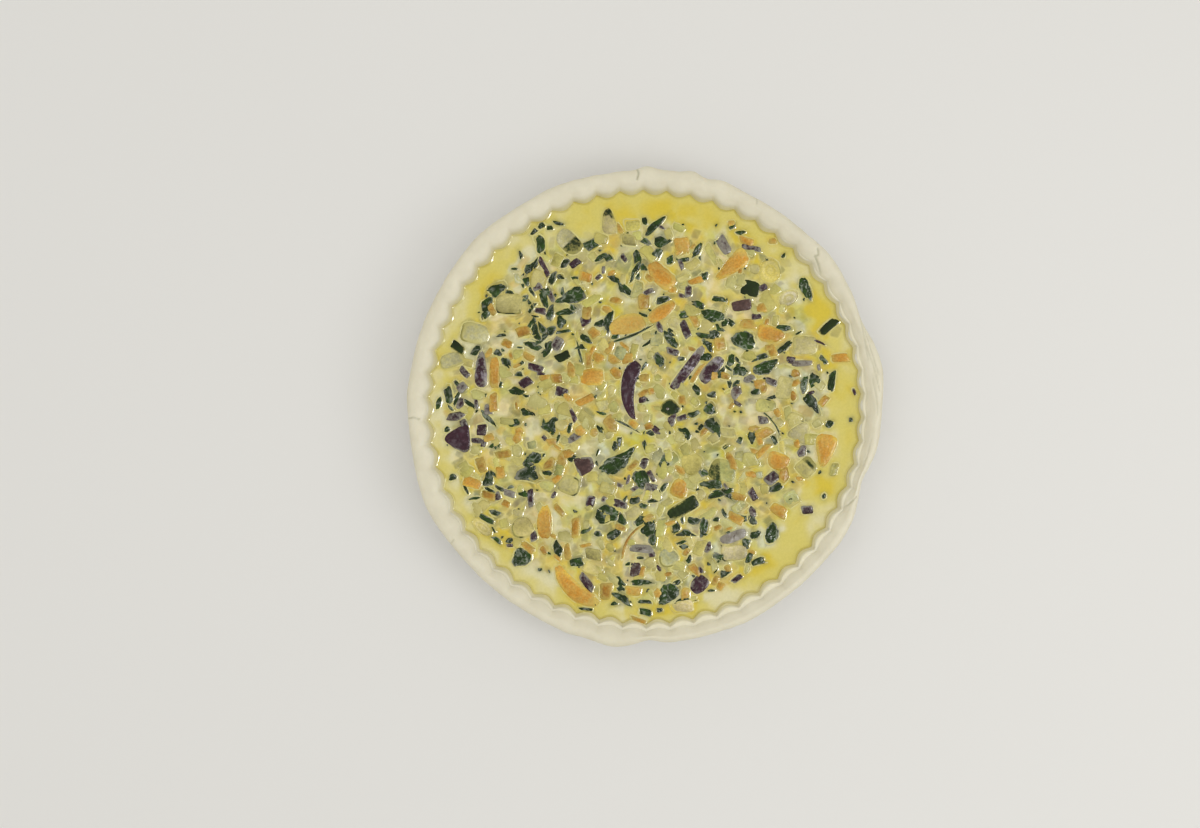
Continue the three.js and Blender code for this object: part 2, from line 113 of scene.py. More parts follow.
# Each row: x, y, length, width, then turn and bend in degrees, taper and squareness. What a row
# leaves off at its end is 0, and a squareness of 0 is its kind's own.
CARROTS = [
    (-45.5, -115, 36, 10.5, -42, 75, -0.2), (-24, -115.5, 12.5, 8.5, 80),
    (55, 89, 25, 9.5, 42, 0, -0.4), (10.5, 82.5, 21, 11.5, -45, 30),
    (10.5, 60, 20, 8.5, 35, 0, 0, 2.1), (-10.5, 52, 22.5, 12, 12),
    (-33, 19, 15, 10.5, 0, 0, 0, 4), (79.5, 46, 17, 10.5, -12, 0, 0.3),
    (123, 31, 11.5, 6), (113.5, -27, 20.5, 11.5, 80, 0, -0.35),
    (84, -34, 13.5, 11.5, -20), (21.5, -51.5, 12, 10.5, 70),
    (57, -70, 11, 7, -30), (-63, -73, 21, 9.5, 90),
    (-94.5, 21, 19.5, 6.5, 90, 0, 0, 4), (-109.5, -47, 12.5, 7.5, -25),
    (-55.5, 18, 8.5, 6.5), (-37, 82, 9.5, 7, -20),
    (-76.5, 47.5, 9.5, 6.5, 10), (-43.5, -76, 13, 6, 85),
    (-98, -56, 10, 5.5, -20), (-32, 46.5, 8, 7.5, 30),
    (-37, 4.5, 12.5, 6, 20), (-95, 2.5, 12.5, 6, 90),
    (-89, -29.5, 11, 5.5, 5), (-29.5, 31, 7.5, 7.5),
    (32, 79.5, 10, 4.5, 15), (-91, -41, 9, 6, 90),
    (64, 104.5, 11, 5.5, -25), (-87, 40, 7.5, 5.5, -30),
    (-87.5, -61, 6, 5, -30), (2.5, -12, 6, 5, 10),
    (-60, -35.5, 10.5, 6, 45),
]
AUBERGINES = [
    (-10.5, 11.5, 38, 9, -95, 62, 0.3), (27, 24, 33, 6.5, 53, 0, 0, 4),
    (42, 23.5, 20, 8.5, 50, 0, 0, 3.6), (-116, -21, 16.5, 14, -60, 0, 0.45),
    (-119, -5.5, 13, 6.5, 15), (-103, 23.5, 23, 7.5, 90, 0, 0.2),
    (61, 64, 13, 7, 10, 0, 0, 5), (-38, -36.5, 12, 11, 20, 0, 0.2, 4),
    (49.5, 102, 14, 7.5, -62), (98, 27.5, 18, 5),
    (56, -81.5, 17.5, 7, 20), (-2.5, -89, 16.5, 5.5, -5),
    (34.5, -111.5, 12.5, 10, 50), (58, 10, 10, 7.5, 75),
    (-63.5, 88, 17, 3.5, -65), (25.5, 49, 12, 5, -70),
    (-75.5, 15.5, 9.5, 6.5, 25), (-6, -102, 9, 7.5, 80),
    (102.5, -65, 8.5, 6), (-72, -57.5, 12, 5, 90),
    (70.5, 57, 7.5, 4), (-1, 4.5, 7, 5, 20),
    (-52.5, 9.5, 9, 7.5, -20), (-103, -14.5, 9, 7, 80),
    (-69, 25, 10.5, 5.5, -22), (68, -55, 9, 5, -60),
    (-37.5, 54.5, 8, 7, 60), (-34, -59.5, 7.5, 5.5, 70),
    (-44, 90.5, 9, 5.5, 30),
]
COURGETTES = [
    (-47.5, 104, 18, 12, -45), (-85.5, 64.5, 16.5, 13, 0, 0, 0, 4.5),
    (-107.5, 46.5, 18, 13, -10), (-121, 29.5, 16, 9, 15),
    (-22.5, 117, 16.5, 8.5, -82, 0, -0.4), (66.5, 74.5, 12, 10, -15, 0, 0, 4.5),
    (100.5, 39, 15.5, 11.5, 0, 0, 0, 4.5), (88.5, 12, 14.5, 11, 80, 0, 0, 4.5),
    (98.5, -16, 13.5, 12, 60, 0, 0.5), (101.5, -38, 12, 11.5, 40, 0, 0, 4),
    (30, -36, 14, 14, 0, 0, 0, 2.1), (49, -40, 16.5, 14, -15),
    (24.5, -63.5, 21, 8.5, 30, 0, 0, 4.5), (56, -92, 16.5, 10, 5, 0, 0, 4.5),
    (16, -0.5, 13, 11, 0, 0, 0, 1.6), (115.5, 50.5, 14, 5.5, 40),
    (-51.5, 32, 12, 7.5, 22), (-47.5, -49.5, 14, 12, -20),
    (-77, -76, 14, 13, 20, 0, 0, 2.4), (-8, -67, 12, 8.5, 30),
    (15, -95, 12.5, 12, 0, 0, 0, 2.1), (76, 1, 13, 8.5),
    (-32, -93, 11.5, 8, -10), (8, -30.5, 12.5, 8, 75),
    (-9.5, 105, 10.5, 7, -10), (-25.5, 1, 9.5, 7.5, 10),
    (-55.5, 92, 9, 7, 60), (-15.5, 34.5, 9, 7.5, 60),
    (-54.5, -40, 8, 6, 70), (-71, -24, 7, 6),
]
LEAVES = [
    (-16, -34, 27, 10, 37, 0, 0.5), (-46, 69.5, 21, 9.5, 18, 0, -0.4),
    (43, 57.5, 15.5, 8.5, -12), (62, 42, 15.5, 11.5, -10, 0, -0.2, 2.4),
    (-2, -45.5, 13, 10, -55), (14.5, -118, 17, 11.5, 50, 0, -0.3),
    (-77.5, -95, 13, 11, 20), (80, -79.5, 13.5, 8.5, 80),
    (11, 104.5, 10.5, 9, 15), (-70.5, -33, 15, 7.5, 30),
    (-58.5, -13, 10.5, 9.5, -20), (-24, -67.5, 16, 12.5, 10),
    (76, 25, 17, 8.5, 25), (107, 18, 11.5, 9, 70),
    (105.5, 2, 13.5, 6, -50), (101.5, 74, 16, 7, -68, 0, 0.4),
    (-33, 102, 11, 7, 25), (41.5, -1, 10, 9, -30),
    (2.5, -76, 12, 10, 60), (37.5, -75.5, 13, 7, 80),
    (-43, -97, 9.5, 8.5), (17, 42, 14, 6.5, -55),
    (-99.5, 63, 14, 6, 82), (33, 64.5, 12, 5, -20),
    (-1.5, -110.5, 16.5, 4), (6, 114, 15, 4.5, 42),
    (117.5, 17, 14, 5.5, 80), (33.5, 99, 11, 5, 62),
    (51, -52.5, 11.5, 5), (58, 24, 11, 5, 65),
    (-6, 85, 15.5, 4, 62), (25.5, -17, 10, 6, -50),
    (-81, -10, 9, 5.5, 20), (38, 44.5, 14, 4, -10),
    (50, -104.5, 8, 5, 15, 0, 0.4), (-18, 80, 13, 4, -28),
    (16, 92.5, 7, 5.5, 60), (26, -80, 11, 4, -5),
    (47, 68, 9.5, 4, -12), (72, -97.5, 9.5, 4.5, 25),
    (67.5, -19, 7.5, 5, 80), (24.5, -88, 7, 4.5, -10),
    (116, -10.5, 5.5, 5, 60), (0, -122.5, 9.5, 3, -5),
    (-110.5, 2, 9.5, 3, -35), (-71, 62.5, 9.5, 3, 55),
    (-47, -12.5, 8, 3, 72), (-85, -84, 6, 4, 20),
    (35.5, -12.5, 5.5, 4, 50), (59.5, -21, 5.5, 4, 60),
    (6, -59, 11, 3, 8), (-27.5, 94.5, 10, 4, 30),
]
ONIONS = [
    (79, 86, 15.5, 13.5, 90), (90.5, 68.5, 13.5, 9.5, 35),
    (23.5, -126, 14, 7.5, 5), (-79, 81.5, 9, 7.5, 90),
    (-102, -76, 15, 7.5, -42), (-8, 114.5, 10.5, 8, -5),
    (92.5, -58, 10.5, 9.5, 30),
]
# Each row: x, y, length, width, turn and bend in degrees, and lift, how far it shows.
FINE_CUTS = {
    "carrot": [
        (-35.5, 29.5, 12.5, 5, 90, 0, 0.7), (54.5, 116, 5, 4, 0, 0, 0.5),
        (64.5, 52.5, 11, 6, -8, 0, 0.5), (88, -42.5, 10.5, 7, 80, 0, 0.9),
        (55, -34, 12, 4.5, 112, 70, 0.9), (-98, -19, 7.5, 5, 10, 0, 0.6),
        (47.5, 39.5, 9.5, 7, 90, 0, 0.6), (50.5, 19.5, 6, 4.5, -20, 0, 0.8),
        (32.5, 20.5, 16, 3, 55, 0, 0.7), (-11, -84, 31, 2, -119, 75, 0.9),
        (4.5, 10, 5.5, 4.5, 0, 0, 0.6), (-7.5, -37, 9, 4, 40, 0, 0.8),
        (-4, -134, 10, 2.5, -20, 0, 0.7), (-32, -16, 5.5, 5.5, 0, 0, 0.6), (4, 82, 8, 7, 0, 0, 0.5),
        (-62.5, 18, 7.5, 5.5, 0, 0, 0.7), (-22, 42, 6, 5, 20, 0, 0.4), (80.5, 104.5, 6, 4, 0, 0, 0.5),
        (-49, -90.5, 5, 11, 10, 0, 0.5), (44.5, 20, 5.5, 5.5, 0, 0, 0.6),
        (2, -70, 7.5, 4.5, 30, 0, 0.5), (22, -40, 5, 9, 60, 0, 0.6), (44, -62.5, 7.5, 6, 30, 0, 0.4),
        (78, 37.5, 6, 4.5, 0, 0, 0.7), (-98, 34.5, 7.5, 4, 60, 0, 0.5),
        (10.5, 99.5, 4.5, 4, 0, 0, 0.3),
    ],
    "aubergine": [
        (-30, 60.5, 8, 4.5, 70, 0, 0.4), (-115, 12, 7.5, 6, 40, 0, 0.5),
        (110, 41, 10.5, 2, -22, -35, 0.9), (132, 9.5, 5.5, 2.5, -70, 0, 0.9),
        (-37, -110.5, 15, 5.5, -55, 0, 0.8), (67.5, 100, 12.5, 4, -12, 0, 0.7),
        (-74.5, -22.5, 5, 7.5, 10, 0, 0.4), (-85.5, -54.5, 8, 5, -20, 0, 0.5),
        (-116, 2.5, 7.5, 5.5, 80, 0, 0.6), (49.5, -59.5, 5.5, 5, 0, 0, 0.4), (15, 0, 4, 5, 0, 0, 0.6),
    ],
    "courgette": [
        (-118, 38, 10.5, 5.5, -38, 0, 1), (42.5, 96, 16, 4.5, -62, 0, 0.6),
        (34.5, -88, 12, 8, 60, 0, 0.6), (-46, 90.5, 6, 5.5, 0, 0, 0.4),
        (-86, 50.5, 12.5, 5, 0, 0, 0.4), (7.5, 43, 11, 8, 80, 0, 0.6), (65.5, 32, 11, 7.5, 0, 0, 0.5),
        (120.5, 47.5, 7.5, 5.5, 60, 0, 0.4), (10.5, -75.5, 12.5, 7, 75, 0, 0.5),
        (72.5, -43, 5.5, 5, 0, 0, 0.7), (119, -39.5, 9.5, 5, 75, 0, 0.6),
        (60, -62.5, 10, 7.5, 30, 0, 0.6), (-79.5, -67, 7, 5, -15, 0, 0.5),
        (-10, -49, 7.5, 5.5, 45, 0, 0.6), (-4.5, -54, 8, 5, 20, 0, 0.6),
        (-20.5, -108, 12.5, 5.5, -40, 0, 0.5), (-45.5, 17.5, 7.5, 6, 0, 0, 0.5),
        (-63, 31, 10, 4.5, -10, 0, 0.4), (-112, 28, 9, 5.5, -20, 0, 0.5),
        (59.5, -30, 6, 5, 0, 0, 0.5), (30.5, 15, 5.5, 5.5, 0, 0, 0.4), (94, 34.5, 6, 5.5, 0, 0, 0.4),
        (84, -8, 9, 5.5, -50, 0, 0.5), (53, -16, 11, 5.5, -5, 0, 0.5), (39, -20.5, 9, 5, -20, 0, 0.4),
        (-28, -38, 9, 5.5, 30, 0, 0.4), (-39, -48, 7.5, 6, 50, 0, 0.4), (-64, -5, 11, 5, 0, 0, 0.35),
        (-78, -7, 9, 3, 60, 0, 0.4), (-25.5, -70.5, 7.5, 5.5, 0, 0, 0.5),
        (3, -99.5, 7.5, 9, 0, 0, 0.5), (21, -100.5, 9, 6, -20, 0, 0.5),
        (32.5, -111, 9, 5.5, 30, 0, 0.4), (78, -70.5, 9, 6, 0, 0, 0.3), (79, -61, 11, 6, 10, 0, 0.3),
        (6, -113, 6, 9, 20, 0, 0.4), (-65.5, -60, 8, 5.5, 40, 0, 0.4),
        (-109.5, -30, 7.5, 5.5, 30, 0, 0.35), (-83, -39.5, 7, 6, 0, 0, 0.35),
        (-51, 102.5, 5, 5.5, 0, 0, 0.3), (17, 20, 7.5, 5.5, 50, 0, 0.35), (-3, 29, 9, 5, 20, 0, 0.35),
        (82.5, 22, 7.5, 5.5, 10, 0, 0.4), (100.5, -8, 7, 5, 70, 0, 0.4),
    ],
    "leaf": [
        (50, 53, 7.5, 5.5, 40, 0, 0.9), (100.5, 14, 9.5, 5, 80, 0, 0.8),
        (-87, 27.5, 9.5, 6, -60, 0, 0.8), (-92.5, 34, 5, 4, 0, 0, 0.7), (-79, 20.5, 5, 3, 0, 0, 0.7),
        (-100.5, 57.5, 6, 5, 60, 0, 0.7), (24.5, 92.5, 8, 3, 8, 0, 1), (-9, 44.5, 36, 2, 22, 25, 0.9),
        (-41, 34.5, 16, 2, -75, 0, 0.8), (-23, 53, 12.5, 5, 78, 0, 0.8), (17, 47, 7, 5, -50, 0, 0.7),
        (40.5, 39, 8, 5.5, -50, 0, 0.7), (54, 29, 9, 5.5, 70, 0, 0.8),
        (87.5, 37.5, 16, 4, 38, 0, 0.7), (-94.5, -24.5, 8, 3, 5, 0, 0.8),
        (-121, -44.5, 5.5, 5, 30, 0, 0.9), (-100.5, -70.5, 14, 4.5, -30, 0, 0.7),
        (-93, -84, 7.5, 3, -35, 0, 0.8), (19.5, -75, 10, 5, -80, 0, 0.8),
        (63, -70, 7, 4.5, -10, 0, 0.8), (64, -86, 7, 5, 60, 0, 0.7), (66, -95.5, 8, 4.5, 70, 0, 0.9),
        (-14.5, -120, 12.5, 5, -35, 0, 0.8), (0, -129.5, 9.5, 5, -15, 0, 0.8),
        (-37.5, -127.5, 9.5, 3, -8, 0, 0.8), (-25, -76, 9.5, 7, 0, 0, 0.4),
        (-130, 2, 9, 4, 80, 0, 0.8), (-65, 114, 5.5, 4.5, 40, 0, 0.9), (-60, 113, 4.5, 4, 0, 0, 0.8),
        (-54, 115.5, 8, 3, -15, 0, 0.7), (-69.5, 110.5, 5, 3, 30, 0, 0.6),
        (-71, 72.5, 7.5, 3, -60, 0, 0.7), (-78, 95.5, 5.5, 2.5, -80, 0, 0.9),
        (-82, 87, 4.5, 2, 0, 0, 0.8), (87.5, 95.5, 4, 2.5, 50, 0, 0.9),
        (-52, 47.5, 10, 2.5, 8, 0, 0.9), (-59.5, 47.5, 7, 5, 60, 0, 0.5),
        (80.5, -9, 22.5, 1.5, -52, -40, 0.6), (-12, -11, 20, 2, -28, 0, 0.7),
        (-113, -51, 9, 2.5, -65, 0, 0.8), (-97.5, -52.5, 8, 2.5, -25, 0, 0.8),
        (37.5, 82.5, 7.5, 5, 35, 0, 0.6), (92, 19.5, 3, 2.5, 0, 0, 0.9), (130, -8, 3, 3, 0, 0, 0.8),
        (113, -56, 4.5, 3, 60, 0, 0.6), (-66, -102.5, 3, 2.5, 0, 0, 0.9),
        (-19, -124, 4.5, 2.5, 0, 0, 0.8), (-90.5, 45, 7, 2, 5, 0, 0.6),
        (-124.5, -14, 5, 4, 60, 0, 0.8), (-119, 5, 9.5, 3, 70, 0, 0.7),
        (-15.5, -22, 4, 7.5, 0, 0, 0.6), (0.5, -25, 10, 3, -75, 0, 0.8),
        (3, -16, 5.5, 4.5, 0, 0, 0.7), (5.5, -83, 10, 5.5, 80, 0, 0.8),
        (33, -10.5, 4.5, 3, 0, 0, 0.8), (51, -25, 5, 3, 40, 0, 0.7), (-53, 82, 5.5, 4, 0, 0, 0.6),
        (-44, 81, 5, 3, 0, 0, 0.6), (32.5, 109, 7, 5, 60, 0, 0.4), (60.5, 110, 7.5, 3, 0, 0, 0.7),
        (55, 114, 5, 4, 60, 0, 0.6), (70, 9.5, 5.5, 5, 0, 0, 0.7), (73, 31, 11, 3, 20, 0, 0.6),
        (57.5, 14, 7, 4.5, 60, 0, 0.7), (42.5, 7.5, 5.5, 4, 0, 0, 0.5),
        (-64, -11, 2.5, 7.5, 0, 0, 0.5), (-55.5, -21, 10, 2.5, 60, 0, 0.5),
        (-25, -63, 7.5, 5, 0, 0, 0.6), (-15.5, -71, 6, 7.5, 0, 0, 0.6), (-30, -80, 6, 4.5, 0, 0, 0.5),
        (44.5, -103, 6, 3, 60, 0, 0.5), (50.5, -92, 14, 2, -68, 0, 0.8),
        (42, -115.5, 5, 2.5, 0, 0, 0.7), (25, -122, 14, 3, 8, 0, 0.7), (9.5, -128, 4, 3, 0, 0, 0.8),
        (-9.5, -99, 5, 2.5, 0, 0, 0.7), (-3, -95, 5.5, 2.5, 0, 0, 0.7),
        (75, -58, 7.5, 2.5, 0, 0, 0.4), (45, -71, 4.5, 3, 0, 0, 0.7),
        (20.5, -110.5, 6, 4, 20, 0, 0.5), (-15.5, -92, 9, 2.5, 75, 0, 0.4),
        (-78, 27.5, 5.5, 3, 30, 0, 0.7), (-92, 14.5, 6, 4, -30, 0, 0.6),
    ],
    "onion": [
        (6, 35.5, 7.5, 5.5, 80, 0, 0.5), (109.5, 7.5, 7.5, 6, 0, 0, 0.35),
        (88, 90.5, 9, 6, 0, 0, 0.35), (-25.5, -97.5, 9, 5.5, 20, 0, 0.45),
        (-17, -123, 5, 6, 0, 0, 0.4), (-77.5, -71, 6, 4.5, -20, 0, 0.4), (19.5, -56, 7, 5, 0, 0, 0.5),
        (70.5, 7.5, 7.5, 5.5, 0, 0, 0.4), (-32.5, -28, 7.5, 5, 40, 0, 0.4),
        (9.5, -11, 6, 4.5, 0, 0, 0.35), (34.5, 29.5, 5, 4.5, 0, 0, 0.4),
        (-12.5, 90.5, 9, 5.5, -10, 0, 0.35), (-76, 35.5, 7.5, 5.5, 20, 0, 0.35),
        (-109.5, -8, 7, 5, 80, 0, 0.45), (55, -88, 6, 5, 0, 0, 0.35),
    ],
}
LAID = {
    "carrot": CARROTS, "aubergine": AUBERGINES, "courgette": COURGETTES, "leaf": LEAVES, "onion": ONIONS,
}
CROWD = {  # share of the seeded cuts, shortest and longest, slimmest and fullest, largest bend
    "courgette": (0.29, (5.0, 15.0), (0.50, 0.95), 0),
    "leaf": (0.28, (5.0, 18.0), (0.25, 0.75), 50),
    "carrot": (0.20, (5.0, 14.5), (0.35, 0.85), 20),
    "onion": (0.12, (6.0, 16.0), (0.30, 0.80), 90),
    "aubergine": (0.11, (4.5, 11.5), (0.35, 0.80), 0),
}
CROWD_SPACING, CROWD_REACH = 7.3, 130.0
FLECK_SPACING, FLECK_REACH = 16.0, 126.0
SUNK_SPACING, SUNK_REACH = 7.2, 124.0
JITTER = 0.42  # how far a seeded cut may be from its lattice point, as a share of the spacing
CLEARANCE = 0.3  # how far a seeded cut's middle stays outside the laid cuts
THINNING = 14  # how far in from the crowd's edge the seeded cuts are fewer
OPEN_SHARE = 0.85  # the share of seeded cuts left out in the middle of an open place
CROWD_EDGE = [  # angle in degrees and how far out the vegetables lie there
    (0, 117), (30, 123), (60, 124), (90, 119), (110, 119), (130, 125), (165, 125), (190, 128), (225, 126),
    (255, 128), (280, 127), (305, 123), (325, 117), (345, 116), (360, 117),
]
OPEN_PLACES = [  # x, y and radius of places where the filling is open custard
    (-35, 62, 15), (104, 72, 22), (41, 76, 14), (-71, -21, 15), (108, -46, 18), (78, -6, 11), (-88, 46, 12),
    (92, 30, 14), (60, 44, 10), (-8, -20, 9), (-45, -62, 12), (36, -34, 11), (-95, 10, 10), (70, -78, 14),
]
SHOWING = 0.5  # a fine cut with a lift below this one is only a tint and a low relief
SUNK_SEED = 12
CUSTARD_GRID = 296
PASTRY_ROWS = 58
LARGE_RINGS, SMALL_RINGS, FILLER_RINGS = 16, 6, 4
LARGE_STEP, SMALL_STEP = 0.8, 1.3  # how far apart a cut's points lie along its outline
MENISCUS_STEP, FILLER_MENISCUS_STEP = 1.0, 1.8
DRY_LENGTH = 3.2  # no meniscus is drawn round a cut as short as this

CAMERA_X, CAMERA_Y = -28.1, -4.4
SENSOR_WIDTH = 36.0
FLOOR_HALF = 4.0  # metres, as are the lights' places and sizes
KEY_PLACE, KEY_SIZE = (1.15, -0.45, 1.25), 0.9
FILL_PLACE, FILL_SIZE = (-0.2, 0.2, 2.2), 2.4
SHEEN_PLACE, SHEEN_SIZE = (1.25, -0.35, 1.15), 0.5
SKY_COLOUR = (1.0, 0.99, 0.96, 1)

# How uneven the outlines are, and the powers of the curves over their tops.
JAGGEDNESS = {"carrot": 0.07, "aubergine": 0.04, "courgette": 0.03, "leaf": 0.17, "onion": 0.05}
FLATNESS = {"carrot": 4, "aubergine": 3, "courgette": 6, "leaf": 3, "onion": 4}
WETNESS = {  # roughness, coat, how thick custard lies on it, grain per metre, its depth in mm
    "carrot": (0.32, 0.05, 0.40, 420, 0.5),
    "aubergine": (0.22, 0.12, 0.60, 380, 0.8),
    "courgette": (0.28, 0.10, 0.50, 420, 0.5),
    "leaf": (0.20, 0.12, 0.50, 330, 1.1),
    "onion": (0.24, 0.10, 0.50, 360, 0.6),
}
COLOURS = (
    "carrot", "carrot_pale", "carrot_edge", "aubergine", "aubergine_flesh", "aubergine_glint",
    "courgette", "courgette_pale", "courgette_skin", "leaf", "leaf_green", "leaf_vein_and_glint", "onion",
    "onion_pale",
)

USUAL_FILM = 0.30  # a film in LOOKS adds to its kind's own what it is over this

# How much film, flesh or painted glints a cut shows where that isn't its kind's own, and where a courgette
# has its skin, by the cut's place. A side of skin is (direction in degrees, from which share of the
# way out), an arc is (direction, half its width).
LOOKS = {
    (-47.5, 104): {"side": (-45, 0.0)},
    (-85.5, 64.5): {"arc": (-90, 65), "film": 0.1},
    (-107.5, 46.5): {"arc": (185, 45), "film": 0.35},
    (-22.5, 117): {"side": (80, 0.45)},
    (66.5, 74.5): {"skin": 1, "film": 0.0},
    (101.5, -38): {"side": (45, 0.3)},
    (49, -40): {"side": (180, 0.2)},
    (24.5, -63.5): {"skin": 1, "film": 0.1},
    (56, -92): {"arc": (215, 30)},
    (16, -0.5): {"skin": 1, "film": 0.0},
    (-47.5, -49.5): {"arc": (-10, 70)},
    (-77, -76): {"arc": (215, 60)},
    (15, -95): {"arc": (235, 65)},
    (115.5, 50.5): {"skin": 1, "film": 0.0},
    (-51.5, 32): {"skin": 1, "film": 0.0},
    (-118, 38): {"skin": 1, "film": 0.0},
    (-16, -34): {"film": 0.0},
    (-116, -21): {"film": 0.04, "glints": 0.1},
    (-10.5, 11.5): {"film": 0.15},
    (-38, -36.5): {"flesh": 0.7, "film": 0.2},
    (61, 64): {"flesh": 0.8, "film": 0.1},
    (98, 27.5): {"flesh": 0.8, "film": 0.5},
    (58, 10): {"flesh": 0.7, "film": 0.4},
    (56, -81.5): {"flesh": 0.5, "film": 0.55, "glints": 0.9},
    (-2.5, -89): {"flesh": 0.3, "film": 0.5, "glints": 0.9},
    (49.5, 102): {"flesh": 0.3, "film": 0.5},
    (-6, -102): {"flesh": 0.6, "film": 0.3},
    (-119, -5.5): {"film": 0.4},
    (-33, 19): {"film": 0.2},
    (10.5, 60): {"film": 0.25},
    (84, -34): {"film": 0.2},
    (79.5, 46): {"film": 0.2},
    (-10.5, 52): {"film": 0.5},
    (27, 24): {"glints": 0.9},
    (42, 23.5): {"glints": 0.9},
    (-72, -57.5): {"glints": 0.7},
    (-103, 23.5): {"glints": 0.6},
}

# Pools of yolk on the custard: x, y, spread along x and along y, strength.
YOLK_POOLS = [
    (107, 60, 13, 13, 0.7), (128, -12, 5, 24, 0.35), (115, -53, 13, 7, 0.75), (68, -95, 15, 13, 0.7),
    (-90, 77, 13, 10, 0.45), (-41, 107, 16, 5, 0.5), (14, 124, 40, 9, 0.55), (78, 66, 14, 10, 0.5),
    (31, 66, 12, 8, 0.4), (-120, 14, 9, 5, 0.5), (19, -128, 22, 4, 0.6), (34, -112, 12, 6, 0.3),
    (-15, 34, 12, 8, 0.35), (-28, 68, 10, 8, 0.3), (88, -64, 10, 14, 0.4), (-106, 56, 6, 12, 0.45),
    (62, 98, 14, 8, 0.3), (-60, 80, 10, 8, 0.35), (99, 91, 12, 9, -0.15),
    (58, 118, 12, 9, -0.3), (-118, -40, 6, 14, -0.3), (-91, -98, 12, 8, -0.2),
]

# Carrot's orange in the custard: x, y, spread along x and along y, strength.
CARROT_STAINS = [
    (82, 47, 14, 7, 0.7), (-42, 27, 9, 6, 0.4), (12, 75, 8, 10, 0.4), (-105, 22, 5, 12, 0.35),
    (44, -52, 9, 7, 0.3),
]


@dataclass
class Cut:
    """One cut of vegetable: its kind, place, size, how far it shows (lift) and how it looks."""

    kind: str
    x: float
    y: float
    length: float
    width: float
    turn: float = 0.0
    bend: float = 0.0
    taper: float = 0.0
    square: float = 0.0
    lift: float = 1.0
    corners: int = 0
    filler: bool = False
    node: str = ""
    looks: dict = field(default_factory=dict)

    @property
    def seed(self):
        """A whole number of this cut's own, worked out from its place."""
        return int(abs(7.3 * self.x) + abs(13.7 * self.y)) + 11

    @property
    def tip(self):
        """The direction in which a cut's top is tilted up and painted lighter, with painted shade on the
        other side, in radians from its length.
        """
        return math.radians((self.seed * 47) % 360)

    def chance(self, number, seed):
        """A number from 0 to 1 that is always the same for this cut."""
        return float(lattice(np.array(self.seed), np.array(number), seed))

    @property
    def sides(self):
        """The directions of a cut's sides, how far out they lie, and how sharply they meet."""
        if not self.corners:
            return np.arange(4) * TURN / 4, np.ones(4), self.square or SQUARENESS[self.kind]
        number = np.arange(self.corners)
        off, out = (lattice(number, np.zeros_like(number), self.seed + k) for k in (1, 2))
        loose = 0.16 if self.corners == 4 else 0.4
        turn = (number + loose * off + self.seed) * TURN / self.corners
        return turn, 0.76 + 0.28 * out, CORNER_SHARPNESS


def corners_of(kind, number):
    """How many corners a small cut has: mostly four, and three to six on leaves."""
    return 3 + number % 4 if kind == "leaf" else (4, 4, 4, 5)[number % 4]


def laid_cuts():
    """The larger cuts, those with a CAD node of their own named as that node is."""
    cuts = []
    for kind, rows in LAID.items():
        own = 0
        for row in rows:
            cut = Cut(kind, *row)
            cut.looks = LOOKS.get((cut.x, cut.y), {})
            if cut.length * cut.width >= NODE_AREA:
                own += 1
                cut.node = f"{kind}_{own:02d}"
            elif not cut.square:
                cut.corners = corners_of(kind, cut.seed)
            cuts.append(cut)
    return cuts


def fine_cuts():
    """The finer cuts, which have no node: pieces from a lift of SHOWING, and sunk below it."""
    cuts = []
    for kind, rows in FINE_CUTS.items():
        for x, y, length, width, turn, bend, lift in rows:
            cut = Cut(kind, x, y, length, width, turn, bend, lift=lift)
            cut.corners = corners_of(kind, cut.seed)
            cut.looks = LOOKS.get((x, y), {})
            cuts.append(cut)
    return cuts


def crowd_edge(angle):
    """How far out the vegetables lie at each angle, read between the rows of CROWD_EDGE."""
    at, radius = np.array(CROWD_EDGE, float).T
    return np.interp(np.degrees(angle) % 360, at, radius)


def inside_crowd(x, y):
    """How far inside the crowd's edge each point lies."""
    return crowd_edge(np.arctan2(y, x)) - np.hypot(x, y)


def openness(x, y):
    """How open the filling is, from 0 to 1: the strongest of the bell curves of OPEN_PLACES."""
    return np.max([np.exp(-((x - px) ** 2 + (y - py) ** 2) / r**2) for px, py, r in OPEN_PLACES], 0)


def jittered(draw, spacing, widest):
    """The points of a square lattice over the filling, each moved a little at random."""
    steps = np.arange(-widest, widest, spacing)
    x, y = (a.ravel() for a in np.meshgrid(steps, steps))
    return tuple(a + draw.uniform(-JITTER * spacing, JITTER * spacing, a.size) for a in (x, y))


def crowd_cuts(draw, laid):
    """Seeded cuts in the gaps between the laid ones, each kind in clumps and fewer near the wall."""
    x, y = jittered(draw, CROWD_SPACING, CROWD_REACH)
    clear = np.min([reach(cut, x, y)[0] for cut in laid], 0)
    inside = inside_crowd(x, y)
    kept = (clear > CLEARANCE) & (inside > THINNING * draw.uniform(0, 1, x.size) ** 2)
    kept &= draw.uniform(0, 1, x.size) > OPEN_SHARE * openness(x, y)
    chance = np.array([
        row[0] * np.exp(5 * (cloud(x, y, 22, 91 + k) - 0.5)) for k, row in enumerate(CROWD.values())
    ])
    kinds = np.array(list(CROWD))[(chance.cumsum(0) / chance.sum(0) < draw.uniform(0, 1, x.size)).sum(0)]
    size, shape, curve, turn, show = draw.uniform(0, 1, (5, x.size))
    cuts = []
    for i in np.flatnonzero(kept):
        kind = str(kinds[i])
        _, (short, long), (slim, full), bend = CROWD[kind]
        length = min(short + (long - short) * size[i] ** 1.2, 2 * clear[i] + 6)
        width = max(1.3, length * (slim + (full - slim) * shape[i]))
        curved, lift = bend * (2 * curve[i] - 1), 0.45 + 0.5 * show[i]
        cut = Cut(kind, x[i], y[i], length, width, 180 * turn[i], curved, lift=lift)
        cut.corners, cut.filler = corners_of(kind, i), True
        cuts.append(cut)
    return cuts


